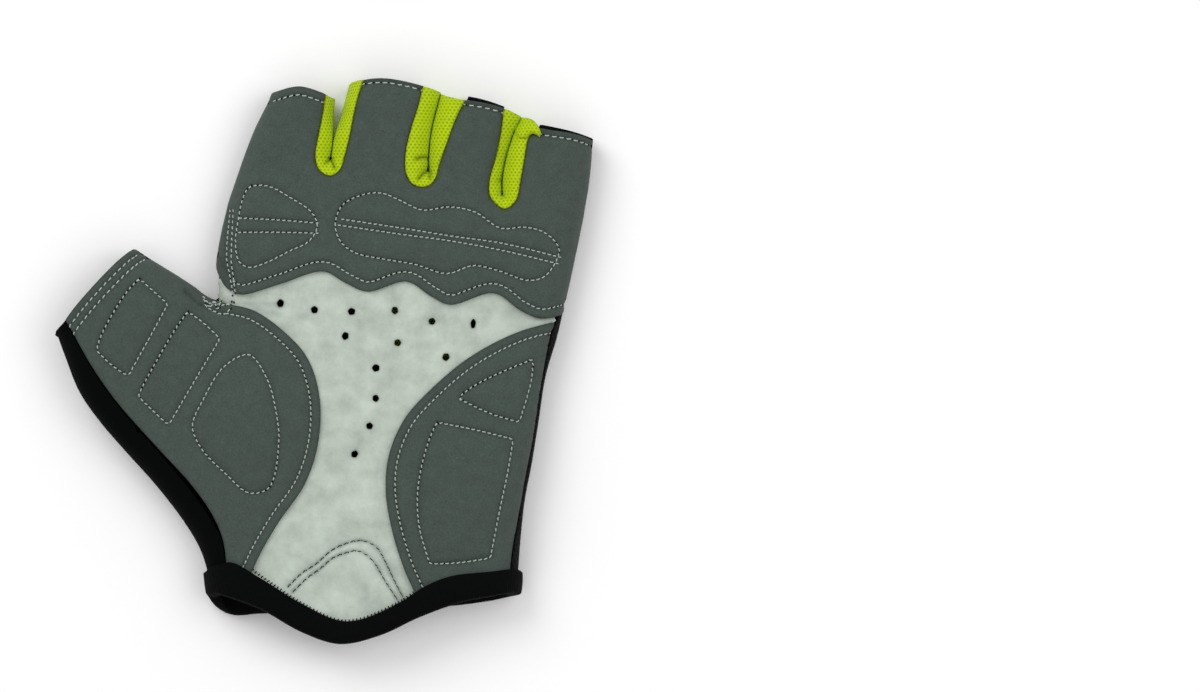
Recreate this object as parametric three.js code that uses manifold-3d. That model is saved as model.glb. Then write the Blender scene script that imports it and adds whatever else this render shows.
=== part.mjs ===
// A half-finger cycling glove for the left hand, lying on its back with the palm up.
// Millimetres. +Z is up, +Y runs from the cuff towards the fingers, +X points to the little finger.
import * as THREE from 'three';
import Module from 'manifold-3d';

const wasm = await Module();
wasm.setup();

// Sizes of the flattened glove
const palmWidth = 108;
const palmLength = 127;
const fingerReach = 30;
const thumbReach = 28.5;
const thumbAngle = 42.5;

// Sizes across the thickness
const clothThickness = 1.2;
const seamGap = 0.3;
const bindingGap = 0.42;
const rollWidth = 7.5;
const palmHeight = 8;
const backHeight = 6;
const reliefHeight = 3.4;
const tipLift = 2.4;
const padHeight = 1.5;
const padShoulder = 1.7;

// Sizes of the cuff binding and the perforations
const bindingWidth = 7.2;
const bindingThickness = 1;
const perforationWidth = 2;
const meshProud = 1;

const meshStep = 8;
const padStep = 4.5;
const turnStep = THREE.MathUtils.degToRad(30);

const panelLevel = 0;
const baseLevel = clothThickness + seamGap;
const layersDepth = baseLevel + clothThickness;
const middleHeight = backHeight;
const hemInset = bindingThickness + 1.6 * bindingGap;
const cuffRise = bindingThickness + 2 * bindingGap;
const cutReach = 5 * (palmHeight + backHeight);
const thumbDirection = THREE.MathUtils.degToRad(180 - thumbAngle);

// A row places a point: across and along are shares of palmWidth and palmLength,
// beyond is a share of fingerReach past the finger roots and out is a share of thumbReach.
function place([across, along, beyond = 0, out = 0]) {
  const x = across * palmWidth + out * thumbReach * Math.cos(thumbDirection);
  const y = along * palmLength + beyond * fingerReach + out * thumbReach * Math.sin(thumbDirection);
  return new THREE.Vector2(x, y);
}

// Outline, clockwise from the cuff. Columns: across, along, beyond, out
const thumbOuterSide = [
  [-0.508, -0.18],
  [-0.516, -0.095],
  [-0.53, 0],
  [-0.539, 0.064],
  [-0.561, 0.124],
  [-0.609, 0.193],
  [-0.687, 0.279],
  [-0.772, 0.36],
  [-0.837, 0.426, 0, 0.03],
  [-0.822, 0.44, 0, 0.39],
  [-0.791, 0.468, 0, 0.75],
  [-0.765, 0.493, 0, 1.03],
  [-0.727, 0.528, 0, 1.4],
];
const crotchSide = [
  [-0.556, 0.686, 0, 1.28],
  [-0.552, 0.69, 0, 1],
  [-0.542, 0.699, 0, 0.65],
  [-0.53, 0.71, 0, 0.27],
  [-0.527, 0.714, 0, 0.08],
  [-0.519, 0.718],
  [-0.505, 0.735],
  [-0.511, 0.768],
  [-0.516, 0.806],
  [-0.502, 0.871],
  [-0.483, 0.942],
  [-0.449, 1, 0.11],
  [-0.41, 1, 0.49],
  [-0.359, 1, 0.88],
  [-0.32, 1, 1.22],
];
const littleSide = [
  [0.55, 1, 0.72],
  [0.536, 1, 0.31],
  [0.527, 1, 0.01],
  [0.511, 0.919],
  [0.483, 0.799],
  [0.457, 0.697],
];
const heelSide = [
  [0.457, 0.697],
  [0.432, 0.632],
  [0.407, 0.537],
  [0.387, 0.429],
  [0.368, 0.329],
  [0.348, 0.239],
  [0.334, 0.124],
  [0.328, 0.048],
  [0.32, -0.06],
  [0.311, -0.18],
];

// The gussets between the fingers. Columns: across and beyond of the outer edge,
// then across and beyond of the seam at the bottom of the valley.
const indexMiddleGusset = [
  [-0.205, 0.86, -0.182, 0.84],
  [-0.216, 0.64, -0.187, 0.65],
  [-0.23, 0.4, -0.191, 0.47],
  [-0.236, 0.26, -0.196, 0.33],
  [-0.227, 0.12, -0.2, 0.24],
  [-0.196, 0.05, -0.195, 0.21],
  [-0.168, 0.11, -0.19, 0.24],
  [-0.154, 0.26, -0.185, 0.33],
  [-0.14, 0.46, -0.177, 0.49],
  [-0.126, 0.72, -0.163, 0.7],
  [-0.104, 1.01, -0.143, 0.97],
];
const middleRingGusset = [
  [0.067, 0.95, 0.11, 0.92],
  [0.051, 0.74, 0.097, 0.74],
  [0.031, 0.51, 0.081, 0.53],
  [0.017, 0.29, 0.074, 0.33],
  [0.017, 0.09, 0.072, 0.18],
  [0.035, -0.03, 0.074, 0.12],
  [0.07, -0.06, 0.078, 0.1],
  [0.095, 0, 0.082, 0.13],
  [0.112, 0.19, 0.085, 0.21],
  [0.132, 0.39, 0.09, 0.39],
  [0.157, 0.63, 0.1, 0.59],
  [0.182, 0.81, 0.119, 0.87],
];
const ringLittleGusset = [
  [0.292, 0.72, 0.337, 0.7],
  [0.283, 0.49, 0.314, 0.51],
  [0.269, 0.25, 0.294, 0.27],
  [0.25, -0.01, 0.281, 0.01],
  [0.253, -0.16, 0.28, -0.09],
  [0.292, -0.28, 0.285, -0.14],
  [0.323, -0.2, 0.29, -0.09],
  [0.337, 0.01, 0.29, 0.03],
  [0.348, 0.23, 0.302, 0.25],
  [0.359, 0.44, 0.323, 0.47],
  [0.387, 0.57, 0.346, 0.63],
];

// Lines that part the pieces. Columns: across, along, beyond, out
const fingerPanelEdge = [
  [-0.587, 0.772],
  [-0.527, 0.752],
  [-0.477, 0.735],
  [-0.438, 0.73],
  [-0.331, 0.756],
  [-0.213, 0.785],
  [-0.154, 0.759],
  [-0.09, 0.737],
  [0.02, 0.761],
  [0.084, 0.728],
  [0.14, 0.706],
  [0.264, 0.733],
  [0.337, 0.692],
  [0.393, 0.673],
  [0.457, 0.682],
  [0.519, 0.702],
  [0.58, 0.71],
];
const thumbPanelEdge = [
  [-0.58, 0.755],
  [-0.547, 0.73],
  [-0.491, 0.711],
  [-0.407, 0.692],
  [-0.323, 0.642],
  [-0.258, 0.58],
  [-0.224, 0.489],
  [-0.227, 0.382],
  [-0.264, 0.282],
  [-0.337, 0.191],
  [-0.387, 0.119],
  [-0.421, 0.057],
  [-0.449, 0],
  [-0.47, -0.1],
];
const thumbStripEdge = [
  [-0.72, 0.535, 0, 1.3],
  [-0.735, 0.521, 0, 1.1],
  [-0.75, 0.506, 0, 0.83],
  [-0.772, 0.486, 0, 0.43],
  [-0.786, 0.468],
  [-0.673, 0.36],
  [-0.584, 0.277],
  [-0.525, 0.205],
  [-0.497, 0.148],
  [-0.488, 0.091],
  [-0.488, 0.024],
  [-0.488, -0.06],
];
const heelPanelEdge = [
  [0.56, 0.668],
  [0.491, 0.666],
  [0.407, 0.659],
  [0.323, 0.639],
  [0.196, 0.582],
  [0.084, 0.503],
  [0.011, 0.432],
  [-0.031, 0.346],
  [-0.039, 0.262],
  [-0.022, 0.172],
  [0.011, 0.081],
  [0.045, 0.014],
  [0.07, -0.06],
];
const heelStripEdge = [
  [0.478, 0.74],
  [0.455, 0.69],
  [0.428, 0.632],
  [0.403, 0.544],
  [0.38, 0.418],
  [0.352, 0.286],
  [0.329, 0.179],
  [0.314, 0.103],
  [0.307, 0],
  [0.3, -0.07],
];
const thumbBackSeam = [
  [-0.535, 0.79],
  [-0.516, 0.742],
  [-0.488, 0.68],
  [-0.421, 0.597],
  [-0.387, 0.429],
  [-0.404, 0.239],
  [-0.438, 0.095],
  [-0.455, -0.095],
];
const cuffPalmEdge = [
  [-0.62, 0.03],
  [-0.53, 0.022],
  [-0.477, 0.01],
  [-0.393, -0.017],
  [-0.281, -0.072],
  [-0.174, -0.1],
  [-0.056, -0.079],
  [0.056, -0.036],
  [0.168, -0.002],
  [0.26, 0.013],
  [0.33, 0.022],
  [0.4, 0.026],
];
const bindingTopEdge = [
  [-0.62, 0.095],
  [-0.53, 0.085],
  [-0.485, 0.092],
  [-0.449, 0.094],
  [-0.387, 0.06],
  [-0.281, 0],
  [-0.174, -0.043],
  [-0.112, -0.041],
  [0, 0],
  [0.07, 0.038],
  [0.14, 0.062],
  [0.26, 0.074],
  [0.33, 0.084],
  [0.4, 0.095],
];
const cuffBackEdge = [
  [-0.62, 0.012],
  [-0.55, 0.004],
  [-0.519, -0.006],
  [-0.463, -0.028],
  [-0.387, -0.03],
  [-0.14, -0.019],
  [0.112, -0.014],
  [0.25, 0],
  [0.33, 0.014],
  [0.4, 0.02],
];
const fingerHem = [
  [-0.45, 1, 0.7],
  [-0.387, 1, 0.86],
  [-0.351, 1, 0.9],
  [-0.281, 1, 0.95],
  [-0.219, 1, 0.89],
  [-0.178, 1, 0.83],
  [-0.14, 1, 0.98],
  [-0.095, 1, 1.02],
  [-0.042, 1, 1.03],
  [0.014, 1, 1],
  [0.084, 1, 0.93],
  [0.113, 1, 0.88],
  [0.154, 1, 0.83],
  [0.224, 1, 0.79],
  [0.272, 1, 0.75],
  [0.32, 1, 0.68],
  [0.351, 1, 0.57],
  [0.407, 1, 0.52],
  [0.477, 1, 0.48],
  [0.519, 1, 0.44],
  [0.6, 1, 0.32],
];
const thumbHem = [
  [-0.52, 0.718, 0, 0.94],
  [-0.556, 0.686, 0, 1],
  [-0.66, 0.588, 0, 1.035],
  [-0.75, 0.506, 0, 1],
  [-0.8, 0.46, 0, 0.94],
];

// The base layer of the palm and the insert in the back. Columns: across, along
const baseOutline = [
  [-0.6, 0.716],
  [-0.556, 0.787],
  [-0.477, 0.797],
  [-0.331, 0.818],
  [-0.213, 0.847],
  [-0.09, 0.806],
  [0.02, 0.823],
  [0.14, 0.775],
  [0.264, 0.795],
  [0.393, 0.74],
  [0.56, 0.728],
  [0.56, 0.628],
  [0.407, 0.597],
  [0.323, 0.577],
  [0.224, 0.525],
  [0.126, 0.453],
  [0.07, 0.382],
  [0.036, 0.298],
  [0.034, 0.251],
  [0.048, 0.179],
  [0.084, 0.072],
  [0.112, -0.048],
  [0, -0.2],
  [-0.561, -0.2],
  [-0.547, -0.024],
  [-0.499, 0.06],
  [-0.463, 0.131],
  [-0.407, 0.215],
  [-0.337, 0.298],
  [-0.303, 0.394],
  [-0.309, 0.501],
  [-0.351, 0.58],
  [-0.421, 0.632],
  [-0.519, 0.663],
];
const insertOutline = [
  [-0.079, 0.735],
  [0.056, 0.749],
  [0.174, 0.716],
  [0.191, 0.597],
  [0.154, 0.477],
  [0.07, 0.406],
  [-0.014, 0.429],
  [-0.062, 0.573],
];

// The padded zones. Columns: across, along, beyond, out
const padOutlines = [
  [
    [-0.421, 0.985],
    [-0.37, 0.988],
    [-0.303, 0.959],
    [-0.247, 0.926],
    [-0.23, 0.892],
    [-0.253, 0.857],
    [-0.309, 0.833],
    [-0.365, 0.809],
    [-0.421, 0.795],
    [-0.449, 0.809],
    [-0.46, 0.854],
    [-0.452, 0.911],
    [-0.438, 0.964],
  ],
  [
    [-0.18, 0.897],
    [-0.16, 0.942],
    [-0.107, 0.966],
    [-0.051, 0.971],
    [0, 0.954],
    [0.062, 0.931],
    [0.14, 0.938],
    [0.21, 0.926],
    [0.281, 0.888],
    [0.351, 0.89],
    [0.407, 0.876],
    [0.446, 0.835],
    [0.407, 0.775],
    [0.359, 0.764],
    [0.275, 0.787],
    [0.205, 0.799],
    [0.132, 0.78],
    [0.042, 0.802],
    [-0.042, 0.814],
    [-0.126, 0.83],
    [-0.166, 0.857],
  ],
  [
    [-0.586, 0.659, 0, 0.72],
    [-0.586, 0.659, 0, 0.52],
    [-0.585, 0.659, 0, 0.32],
    [-0.661, 0.589, 0, 0.21],
    [-0.736, 0.52, 0, 0.11],
    [-0.742, 0.514, 0, 0.3],
    [-0.74, 0.515, 0, 0.54],
    [-0.713, 0.541, 0, 0.62],
    [-0.625, 0.622, 0, 0.73],
  ],
  [
    [-0.592, 0.69],
    [-0.547, 0.663],
    [-0.502, 0.625],
    [-0.547, 0.561],
    [-0.589, 0.501],
    [-0.645, 0.42],
    [-0.687, 0.453],
    [-0.73, 0.489],
    [-0.71, 0.525],
    [-0.631, 0.644],
  ],
  [
    [-0.421, 0.587],
    [-0.491, 0.558],
    [-0.547, 0.482],
    [-0.578, 0.418],
    [-0.553, 0.365],
    [-0.483, 0.303],
    [-0.421, 0.26],
    [-0.365, 0.272],
    [-0.337, 0.382],
    [-0.345, 0.453],
    [-0.37, 0.53],
  ],
  [
    [0.163, 0.484],
    [0.199, 0.511],
    [0.281, 0.546],
    [0.373, 0.577],
    [0.37, 0.525],
    [0.351, 0.47],
    [0.334, 0.427],
    [0.253, 0.446],
  ],
  [
    [0.104, 0.427],
    [0.21, 0.41],
    [0.317, 0.387],
    [0.303, 0.31],
    [0.278, 0.215],
    [0.253, 0.105],
    [0.168, 0.093],
    [0.084, 0.091],
    [0.051, 0.179],
    [0.048, 0.274],
    [0.076, 0.375],
  ],
];

// The perforations. Columns: across, along, stretch along the palm
const perforations = [
  [-0.334, 0.709, 1],
  [-0.238, 0.694, 1],
  [-0.135, 0.69, 1],
  [-0.014, 0.692, 1],
  [0.09, 0.666, 1],
  [0.205, 0.661, 1],
  [-0.152, 0.632, 1.4],
  [-0.006, 0.616, 1],
  [0.129, 0.582, 1],
  [-0.067, 0.556, 1],
  [-0.067, 0.484, 1],
  [-0.084, 0.418, 1],
  [-0.126, 0.351, 1],
];

// Mounds and hollows of the palm. Columns: across, along, radius as a share of palmWidth,
// rise as a share of reliefHeight
const reliefs = [
  [-0.435, 0.43, 0.25, 0.9],
  [0, 0.5, 0.34, 0.75],
  [0.2, 0.26, 0.24, 0.6],
  [0.1, 0.88, 0.3, 0.55],
  [-0.34, 0.88, 0.16, 0.4],
  [-0.16, 0.04, 0.26, 0.75],
  [-0.757, 0.667, 0.15, 0.5],
  [-0.22, 0.3, 0.13, -0.55],
  [-0.5, 0.66, 0.12, -0.5],
  [0.33, 0.66, 0.13, -0.35],
];

function smoothShare(value) {
  const share = THREE.MathUtils.clamp(value, 0, 1);
  return share * share * (3 - 2 * share);
}

function reliefAt(x, y) {
  let rise = 0;
  for (const [across, along, radius, share] of reliefs) {
    const centre = place([across, along]);
    const away = Math.hypot(x - centre.x, y - centre.y) / (radius * palmWidth);
    rise += share * reliefHeight * Math.exp(-away * away);
  }
  return rise;
}

// The fingers and the thumb lift a little off the floor towards their hems.
function liftAt(x, y) {
  const fingerShare = (y - palmLength) / fingerReach;
  const crotch = place([-0.56, 0.6]);
  const thumbShare = (crotch.x - x) / (1.3 * thumbReach);
  return tipLift * (smoothShare(fingerShare) + 1.2 * smoothShare(thumbShare));
}

// The back rises at the cuff to make room for the binding.
function cuffRiseAt(y) {
  return cuffRise * (1 - smoothShare(y / (2.4 * bindingWidth) - 0.4));
}

function sideOf(points, closed = false) {
  const curve = new THREE.CatmullRomCurve3(
    points.map((point) => new THREE.Vector3(point.x, point.y, 0)),
    closed,
    'centripetal',
  );
  return curve.getPoints(points.length * 24).map((point) => new THREE.Vector2(point.x, point.y));
}

// Thins a fine line out to steps of one length, with closer steps where it bends.
function thinned(fine, step) {
  const kept = [0];
  let run = 0;
  let turned = 0;
  for (let i = 1; i < fine.length - 1; i++) {
    const back = new THREE.Vector2().subVectors(fine[i], fine[i - 1]);
    const ahead = new THREE.Vector2().subVectors(fine[i + 1], fine[i]);
    run += back.length();
    turned += Math.abs(Math.atan2(back.cross(ahead), back.dot(ahead)));
    if (run >= step || turned >= turnStep) {
      kept.push(i);
      run = 0;
      turned = 0;
    }
  }
  const last = fine.length - 1;
  if (fine[kept[kept.length - 1]].distanceTo(fine[last]) < step * 0.3) {
    kept.pop();
  }
  kept.push(last);
  return kept;
}

function inwardNormals(fine, indices) {
  return indices.map((i) => {
    const before = fine[Math.max(i - 2, 0)];
    const after = fine[Math.min(i + 2, fine.length - 1)];
    const along = new THREE.Vector2().subVectors(after, before).normalize();
    return new THREE.Vector2(along.y, -along.x);
  });
}

function shifted(fine, distance) {
  const all = fine.map((_, i) => i);
  const normals = inwardNormals(fine, all);
  return fine.map((point, i) => point.clone().addScaledVector(normals[i], distance));
}

function extended(points, length) {
  const first = new THREE.Vector2().subVectors(points[0], points[1]).setLength(length);
  const count = points.length;
  const last = new THREE.Vector2().subVectors(points[count - 1], points[count - 2]).setLength(length);
  return [points[0].clone().add(first), ...points, points[count - 1].clone().add(last)];
}

function gussetLine(rows, column) {
  const points = rows.map((row) => place([row[column], 1, row[column + 1]]));
  return sideOf(extended(points, fingerReach * 0.4));
}

const gussets = {
  gusset_index_middle: indexMiddleGusset,
  gusset_middle_ring: middleRingGusset,
  gusset_ring_little: ringLittleGusset,
};

// The sides of the outline in clockwise order, each a fine line.
const sides = [
  { name: 'thumb', line: sideOf(thumbOuterSide.map(place)) },
  { name: 'crotch', line: sideOf(crotchSide.map(place)) },
  { name: 'valley', line: gussetLine(indexMiddleGusset, 2) },
  { name: 'valley', line: gussetLine(middleRingGusset, 2) },
  { name: 'valley', line: gussetLine(ringLittleGusset, 2) },
  { name: 'little', line: sideOf(littleSide.map(place)) },
  { name: 'heel', line: sideOf(heelSide.map(place)) },
];

const rollAngles = [0, 28, 58, 90].map((angle) => THREE.MathUtils.degToRad(angle));

function insideOutline(outline, x, y) {
  let inside = false;
  for (let i = 0, j = outline.length - 1; i < outline.length; j = i++) {
    const a = outline[i];
    const b = outline[j];
    if (a.y > y !== b.y > y && x < ((b.x - a.x) * (y - a.y)) / (b.y - a.y) + a.x) {
      inside = !inside;
    }
  }
  return inside;
}

function distanceToOutline(outline, x, y) {
  let nearest = Infinity;
  for (let i = 0, j = outline.length - 1; i < outline.length; j = i++) {
    const a = outline[j];
    const dx = outline[i].x - a.x;
    const dy = outline[i].y - a.y;
    const share = THREE.MathUtils.clamp(((x - a.x) * dx + (y - a.y) * dy) / (dx * dx + dy * dy), 0, 1);
    nearest = Math.min(nearest, Math.hypot(a.x + share * dx - x, a.y + share * dy - y));
  }
  return nearest;
}

function padOutlineOf(rows) {
  const fine = sideOf(rows.map(place), true);
  fine.pop();
  return fine;
}

const pads = padOutlines.map(padOutlineOf);

// A pad rises over its shoulder, and stays on the flat of the panel inside the rounded sides.
function padRiseAt(x, y, flat) {
  const outline = pads.find((pad) => insideOutline(pad, x, y));
  if (!outline || !insideOutline(flat, x, y)) {
    return 0;
  }
  const depth = Math.min(distanceToOutline(outline, x, y), distanceToOutline(flat, x, y));
  return padHeight * smoothShare(depth / padShoulder);
}

// Delaunay triangles of the points, as index triples in counterclockwise order.
function delaunay(points) {
  const away = 30 * palmLength;
  const all = [...points, { x: -away, y: -away }, { x: away, y: -away }, { x: 0, y: 1.2 * away }];
  const circle = (a, b, c) => {
    const [p, q, r] = [all[a], all[b], all[c]];
    const bx = q.x - p.x;
    const by = q.y - p.y;
    const cx = r.x - p.x;
    const cy = r.y - p.y;
    const twice = 2 * (bx * cy - by * cx);
    const ux = (cy * (bx * bx + by * by) - by * (cx * cx + cy * cy)) / twice;
    const uy = (bx * (cx * cx + cy * cy) - cx * (bx * bx + by * by)) / twice;
    return { a, b, c, x: p.x + ux, y: p.y + uy, reach: ux * ux + uy * uy };
  };
  const first = points.length;
  let triangles = [circle(first, first + 1, first + 2)];
  for (let i = 0; i < first; i++) {
    const { x, y } = all[i];
    const hit = [];
    const kept = [];
    for (const triangle of triangles) {
      const near = (triangle.x - x) ** 2 + (triangle.y - y) ** 2 < triangle.reach;
      (near ? hit : kept).push(triangle);
    }
    const edges = new Map();
    for (const { a, b, c } of hit) {
      for (const [from, to] of [[a, b], [b, c], [c, a]]) {
        if (!edges.delete(`${to} ${from}`)) {
          edges.set(`${from} ${to}`, [from, to]);
        }
      }
    }
    for (const [from, to] of edges.values()) {
      kept.push(circle(from, to, i));
    }
    triangles = kept;
  }
  return triangles.filter(({ a, b, c }) => Math.max(a, b, c) < first).map(({ a, b, c }) => [a, b, c]);
}

// A flat mesh of the whole outline. Each point knows how far it has turned down the rounded side.
function sheetOf(withPads, gridStep) {
  const points = [];
  const triangles = [];
  const loop = [];
  sides.forEach((side, sideIndex) => {
    const indices = thinned(side.line, meshStep);
    const normals = inwardNormals(side.line, indices);
    const starts = [];
    indices.forEach((at, station) => {
      const normal = normals[station];
      const joined = side.name === 'heel' && station === 0;
      if (joined) {
        starts.push(sides[sideIndex - 1].lastStart);
        return;
      }
      starts.push(points.length);
      for (const roll of rollAngles) {
        points.push({ x: side.line[at].x, y: side.line[at].y, inX: normal.x, inY: normal.y, roll });
      }
    });
    side.lastStart = starts[starts.length - 1];
    for (let station = 0; station + 1 < starts.length; station++) {
      for (let ring = 0; ring + 1 < rollAngles.length; ring++) {
        const a = starts[station] + ring;
        const b = starts[station + 1] + ring;
        triangles.push({ corners: [a, a + 1, b + 1], tag: side.name });
        triangles.push({ corners: [a, b + 1, b], tag: side.name });
      }
    }
    const ringEnds = starts.map((start) => start + rollAngles.length - 1);
    if (side.name === 'heel') {
      ringEnds.shift();
    }
    if (loop.length > 0 && side.name !== 'heel') {
      addOpenEnd(loop, points, ringEnds[0]);
    }
    loop.push(...ringEnds);
  });
  addOpenEnd(loop, points, loop[0]);

  const flat = loop.map((index) => planPoint(points[index], 0));
  const inner = flat.map(({ x, y }, i) => ({ x, y, index: loop[i] }));
  const addInner = (x, y, clearance, rim) => {
    const crowded = inner.some((point) => Math.hypot(point.x - x, point.y - y) < clearance);
    if (!crowded && insideOutline(flat, x, y) && distanceToOutline(flat, x, y) > rim) {
      inner.push({ x, y, index: points.length });
      points.push({ x, y, inX: 0, inY: 0, roll: Math.PI / 2 });
    }
  };
  if (withPads) {
    for (const index of loop) {
      const { x, y } = planPoint(points[index], 0);
      const inX = points[index].inX * padShoulder;
      const inY = points[index].inY * padShoulder;
      if (pads.some((outline) => insideOutline(outline, x + inX, y + inY))) {
        addInner(x + inX, y + inY, padShoulder * 0.75, 0);
      }
    }
    for (const outline of pads) {
      const around = [...outline, outline[0]];
      const indices = thinned(around, padStep);
      const normals = inwardNormals(around, indices);
      const probe = around[5].clone().add(inwardNormals(around, [5])[0]);
      const turn = insideOutline(outline, probe.x, probe.y);
      indices.pop();
      for (const depth of [0, padShoulder]) {
        indices.forEach((at, i) => {
          const reach = turn ? depth : -depth;
          const x = around[at].x + normals[i].x * reach;
          const y = around[at].y + normals[i].y * reach;
          addInner(x, y, padShoulder * 0.75, padShoulder * 0.9);
        });
      }
    }
  }
  const tilt = 0.21;
  for (let i = -30; i <= 30; i++) {
    for (let j = -30; j <= 30; j++) {
      const u = (i + (j % 2) / 2) * gridStep;
      const v = j * gridStep * 0.87;
      const x = u * Math.cos(tilt) - v * Math.sin(tilt);
      const y = palmLength / 2 + u * Math.sin(tilt) + v * Math.cos(tilt);
      addInner(x, y, gridStep * 0.55, padShoulder);
    }
  }
  for (const [a, b, c] of delaunay(inner)) {
    const x = (inner[a].x + inner[b].x + inner[c].x) / 3;
    const y = (inner[a].y + inner[b].y + inner[c].y) / 3;
    if (insideOutline(flat, x, y)) {
      triangles.push({ corners: [inner[a].index, inner[b].index, inner[c].index], tag: 'inner' });
    }
  }
  const riseOf = (x, y) => (withPads ? padRiseAt(x, y, flat) : 0);
  return { points, triangles, riseOf };
}

function addOpenEnd(loop, points, next) {
  const from = planPoint(points[loop[loop.length - 1]], 0);
  const to = planPoint(points[next], 0);
  const count = Math.floor(from.distanceTo(to) / meshStep);
  for (let i = 1; i < count; i++) {
    const between = from.clone().lerp(to, i / count);
    loop.push(points.length);
    points.push({ x: between.x, y: between.y, inX: 0, inY: 0, roll: Math.PI / 2 });
  }
}

function planPoint({ x, y, inX, inY, roll }, level) {
  const reach = rollWidth * (1 - Math.cos(roll)) + level * Math.cos(roll);
  return new THREE.Vector2(x + inX * reach, y + inY * reach);
}

// A sheet point carried to one level of one half; a level counts inwards from the outside.
function carried(point, half, level, joined, riseOf = () => 0) {
  const { x, y } = planPoint(point, level);
  const outer = planPoint(point, 0);
  const turned = Math.sin(point.roll);
  let z = middleHeight + liftAt(outer.x, outer.y);
  if (half === 'palm') {
    z += (palmHeight - level + reliefAt(outer.x, outer.y)) * turned;
    z += riseOf(outer.x, outer.y);
  } else {
    z -= (backHeight - level - cuffRiseAt(outer.y)) * turned;
  }
  if (point.roll === 0 && !joined) {
    z += half === 'palm' ? seamGap / 2 : -seamGap / 2;
  }
  return [x, y, z];
}

function manifoldOf(positions, triangles) {
  const merged = new Map();
  const vertices = [];
  const names = positions.map((position) => {
    const key = position.map((value) => Math.round(value * 1e4)).join(' ');
    if (!merged.has(key)) {
      merged.set(key, vertices.length / 3);
      vertices.push(...position);
    }
    return merged.get(key);
  });
  const corners = [];
  for (const triangle of triangles) {
    const [a, b, c] = triangle.map((index) => names[index]);
    if (a !== b && b !== c && c !== a) {
      corners.push(a, b, c);
    }
  }
  const mesh = new wasm.Mesh({
    numProp: 3,
    vertProperties: new Float32Array(vertices),
    triVerts: new Uint32Array(corners),
  });
  return new wasm.Manifold(mesh);
}

// A wall of cloth between two levels. Its outer skin comes from one sheet and its inner skin from
// another with the same rim. palmTags and backTags say which parts of the sheets each half keeps;
// the halves join along the closed sides that both keep.
function wallOf(outerSheet, innerSheet, palmTags, backTags, outerLevel, innerLevel) {
  const positions = [];
  const triangles = [];
  const joinedTags = palmTags.filter((tag) => tag !== 'inner' && backTags.includes(tag));
  const joined = new Set();
  for (const { corners, tag } of outerSheet.triangles) {
    if (joinedTags.includes(tag)) {
      corners.forEach((index) => joined.add(index));
    }
  }
  const skins = [[outerSheet, outerLevel], [innerSheet, innerLevel]];
  for (const [half, tags] of [['palm', palmTags], ['back', backTags]]) {
    const edges = new Map();
    const starts = [];
    skins.forEach(([sheet, level], skin) => {
      starts.push(positions.length);
      sheet.points.forEach((point, index) => {
        const riseOf = skin === 0 ? sheet.riseOf : undefined;
        positions.push(carried(point, half, level, joined.has(index), riseOf));
      });
      const turnedOver = (half === 'palm') !== (skin === 0);
      for (const { corners, tag } of sheet.triangles) {
        if (!tags.includes(tag)) {
          continue;
        }
        const faced = turnedOver ? [corners[0], corners[2], corners[1]] : corners;
        triangles.push(faced.map((index) => starts[skin] + index));
        for (let i = 0; i < 3 && skin === 0; i++) {
          const from = faced[i];
          const to = faced[(i + 1) % 3];
          if (!edges.delete(`${to} ${from}`)) {
            edges.set(`${from} ${to}`, [from, to]);
          }
        }
      }
    });
    for (const [from, to] of edges.values()) {
      const closed = outerSheet.points[from].roll === 0 && outerSheet.points[to].roll === 0;
      if (!closed || !joined.has(from) || !joined.has(to)) {
        triangles.push([starts[0] + to, starts[0] + from, starts[1] + from]);
        triangles.push([starts[0] + to, starts[1] + from, starts[1] + to]);
      }
    }
  }
  return manifoldOf(positions, triangles);
}

function manifoldOfGeometry(geometry) {
  const attribute = geometry.attributes.position;
  const positions = [];
  for (let i = 0; i < attribute.count; i++) {
    positions.push([attribute.getX(i), attribute.getY(i), attribute.getZ(i)]);
  }
  const corners = geometry.index ? Array.from(geometry.index.array) : positions.map((_, i) => i);
  const triangles = [];
  for (let i = 0; i < corners.length; i += 3) {
    triangles.push(corners.slice(i, i + 3));
  }
  return manifoldOf(positions, triangles);
}

// A straight-sided block over an outline, between two heights.
function blockOf(outline, from = -cutReach, to = cutReach) {
  const geometry = new THREE.ExtrudeGeometry(new THREE.Shape(outline), {
    depth: to - from,
    bevelEnabled: false,
  });
  geometry.translate(0, 0, from);
  return manifoldOfGeometry(geometry);
}

// The line thinned for cutting, then closed through far corners.
function cutterLine(line, step = 3) {
  return thinned(line, step).map((index) => line[index]);
}

function far(across, along) {
  return new THREE.Vector2(across * palmWidth, along * palmLength);
}

const panelSheet = sheetOf(true, meshStep);
const plainSheet = sheetOf(false, meshStep * 1.25);
const everywhere = ['thumb', 'crotch', 'valley', 'little', 'heel', 'inner'];

const hemLine = fingerHem.map(place);
const fingerCut = blockOf([...hemLine, far(1.5, 3), far(-0.8, 3)]);
const backHemLine = fingerHem.map(([across, along, beyond]) => {
  const proud = across > 0.12 ? meshProud : meshProud * 0.25;
  return place([across, along, beyond]).add(new THREE.Vector2(0, proud));
});
const fingerBackCut = blockOf([...backHemLine, far(1.5, 3), far(-0.8, 3)]);
const thumbHemLine = cutterLine(sideOf(thumbHem.map(place)), 6);
const thumbCut = blockOf([...thumbHemLine, far(-1.5, 0.6), far(-1.5, 1.3), far(-0.8, 1.3)]);

const palmHemLine = cutterLine(sideOf(cuffPalmEdge.map(place)), 5);
const backHemCurve = cutterLine(sideOf(cuffBackEdge.map(place)), 5);
const below = [far(1, -1), far(-1.2, -1)];

function cuffCut(line, from, to) {
  const inset = line.map((point) => point.clone().add(new THREE.Vector2(0, hemInset)));
  return blockOf([...inset, ...below], from, to);
}

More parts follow.
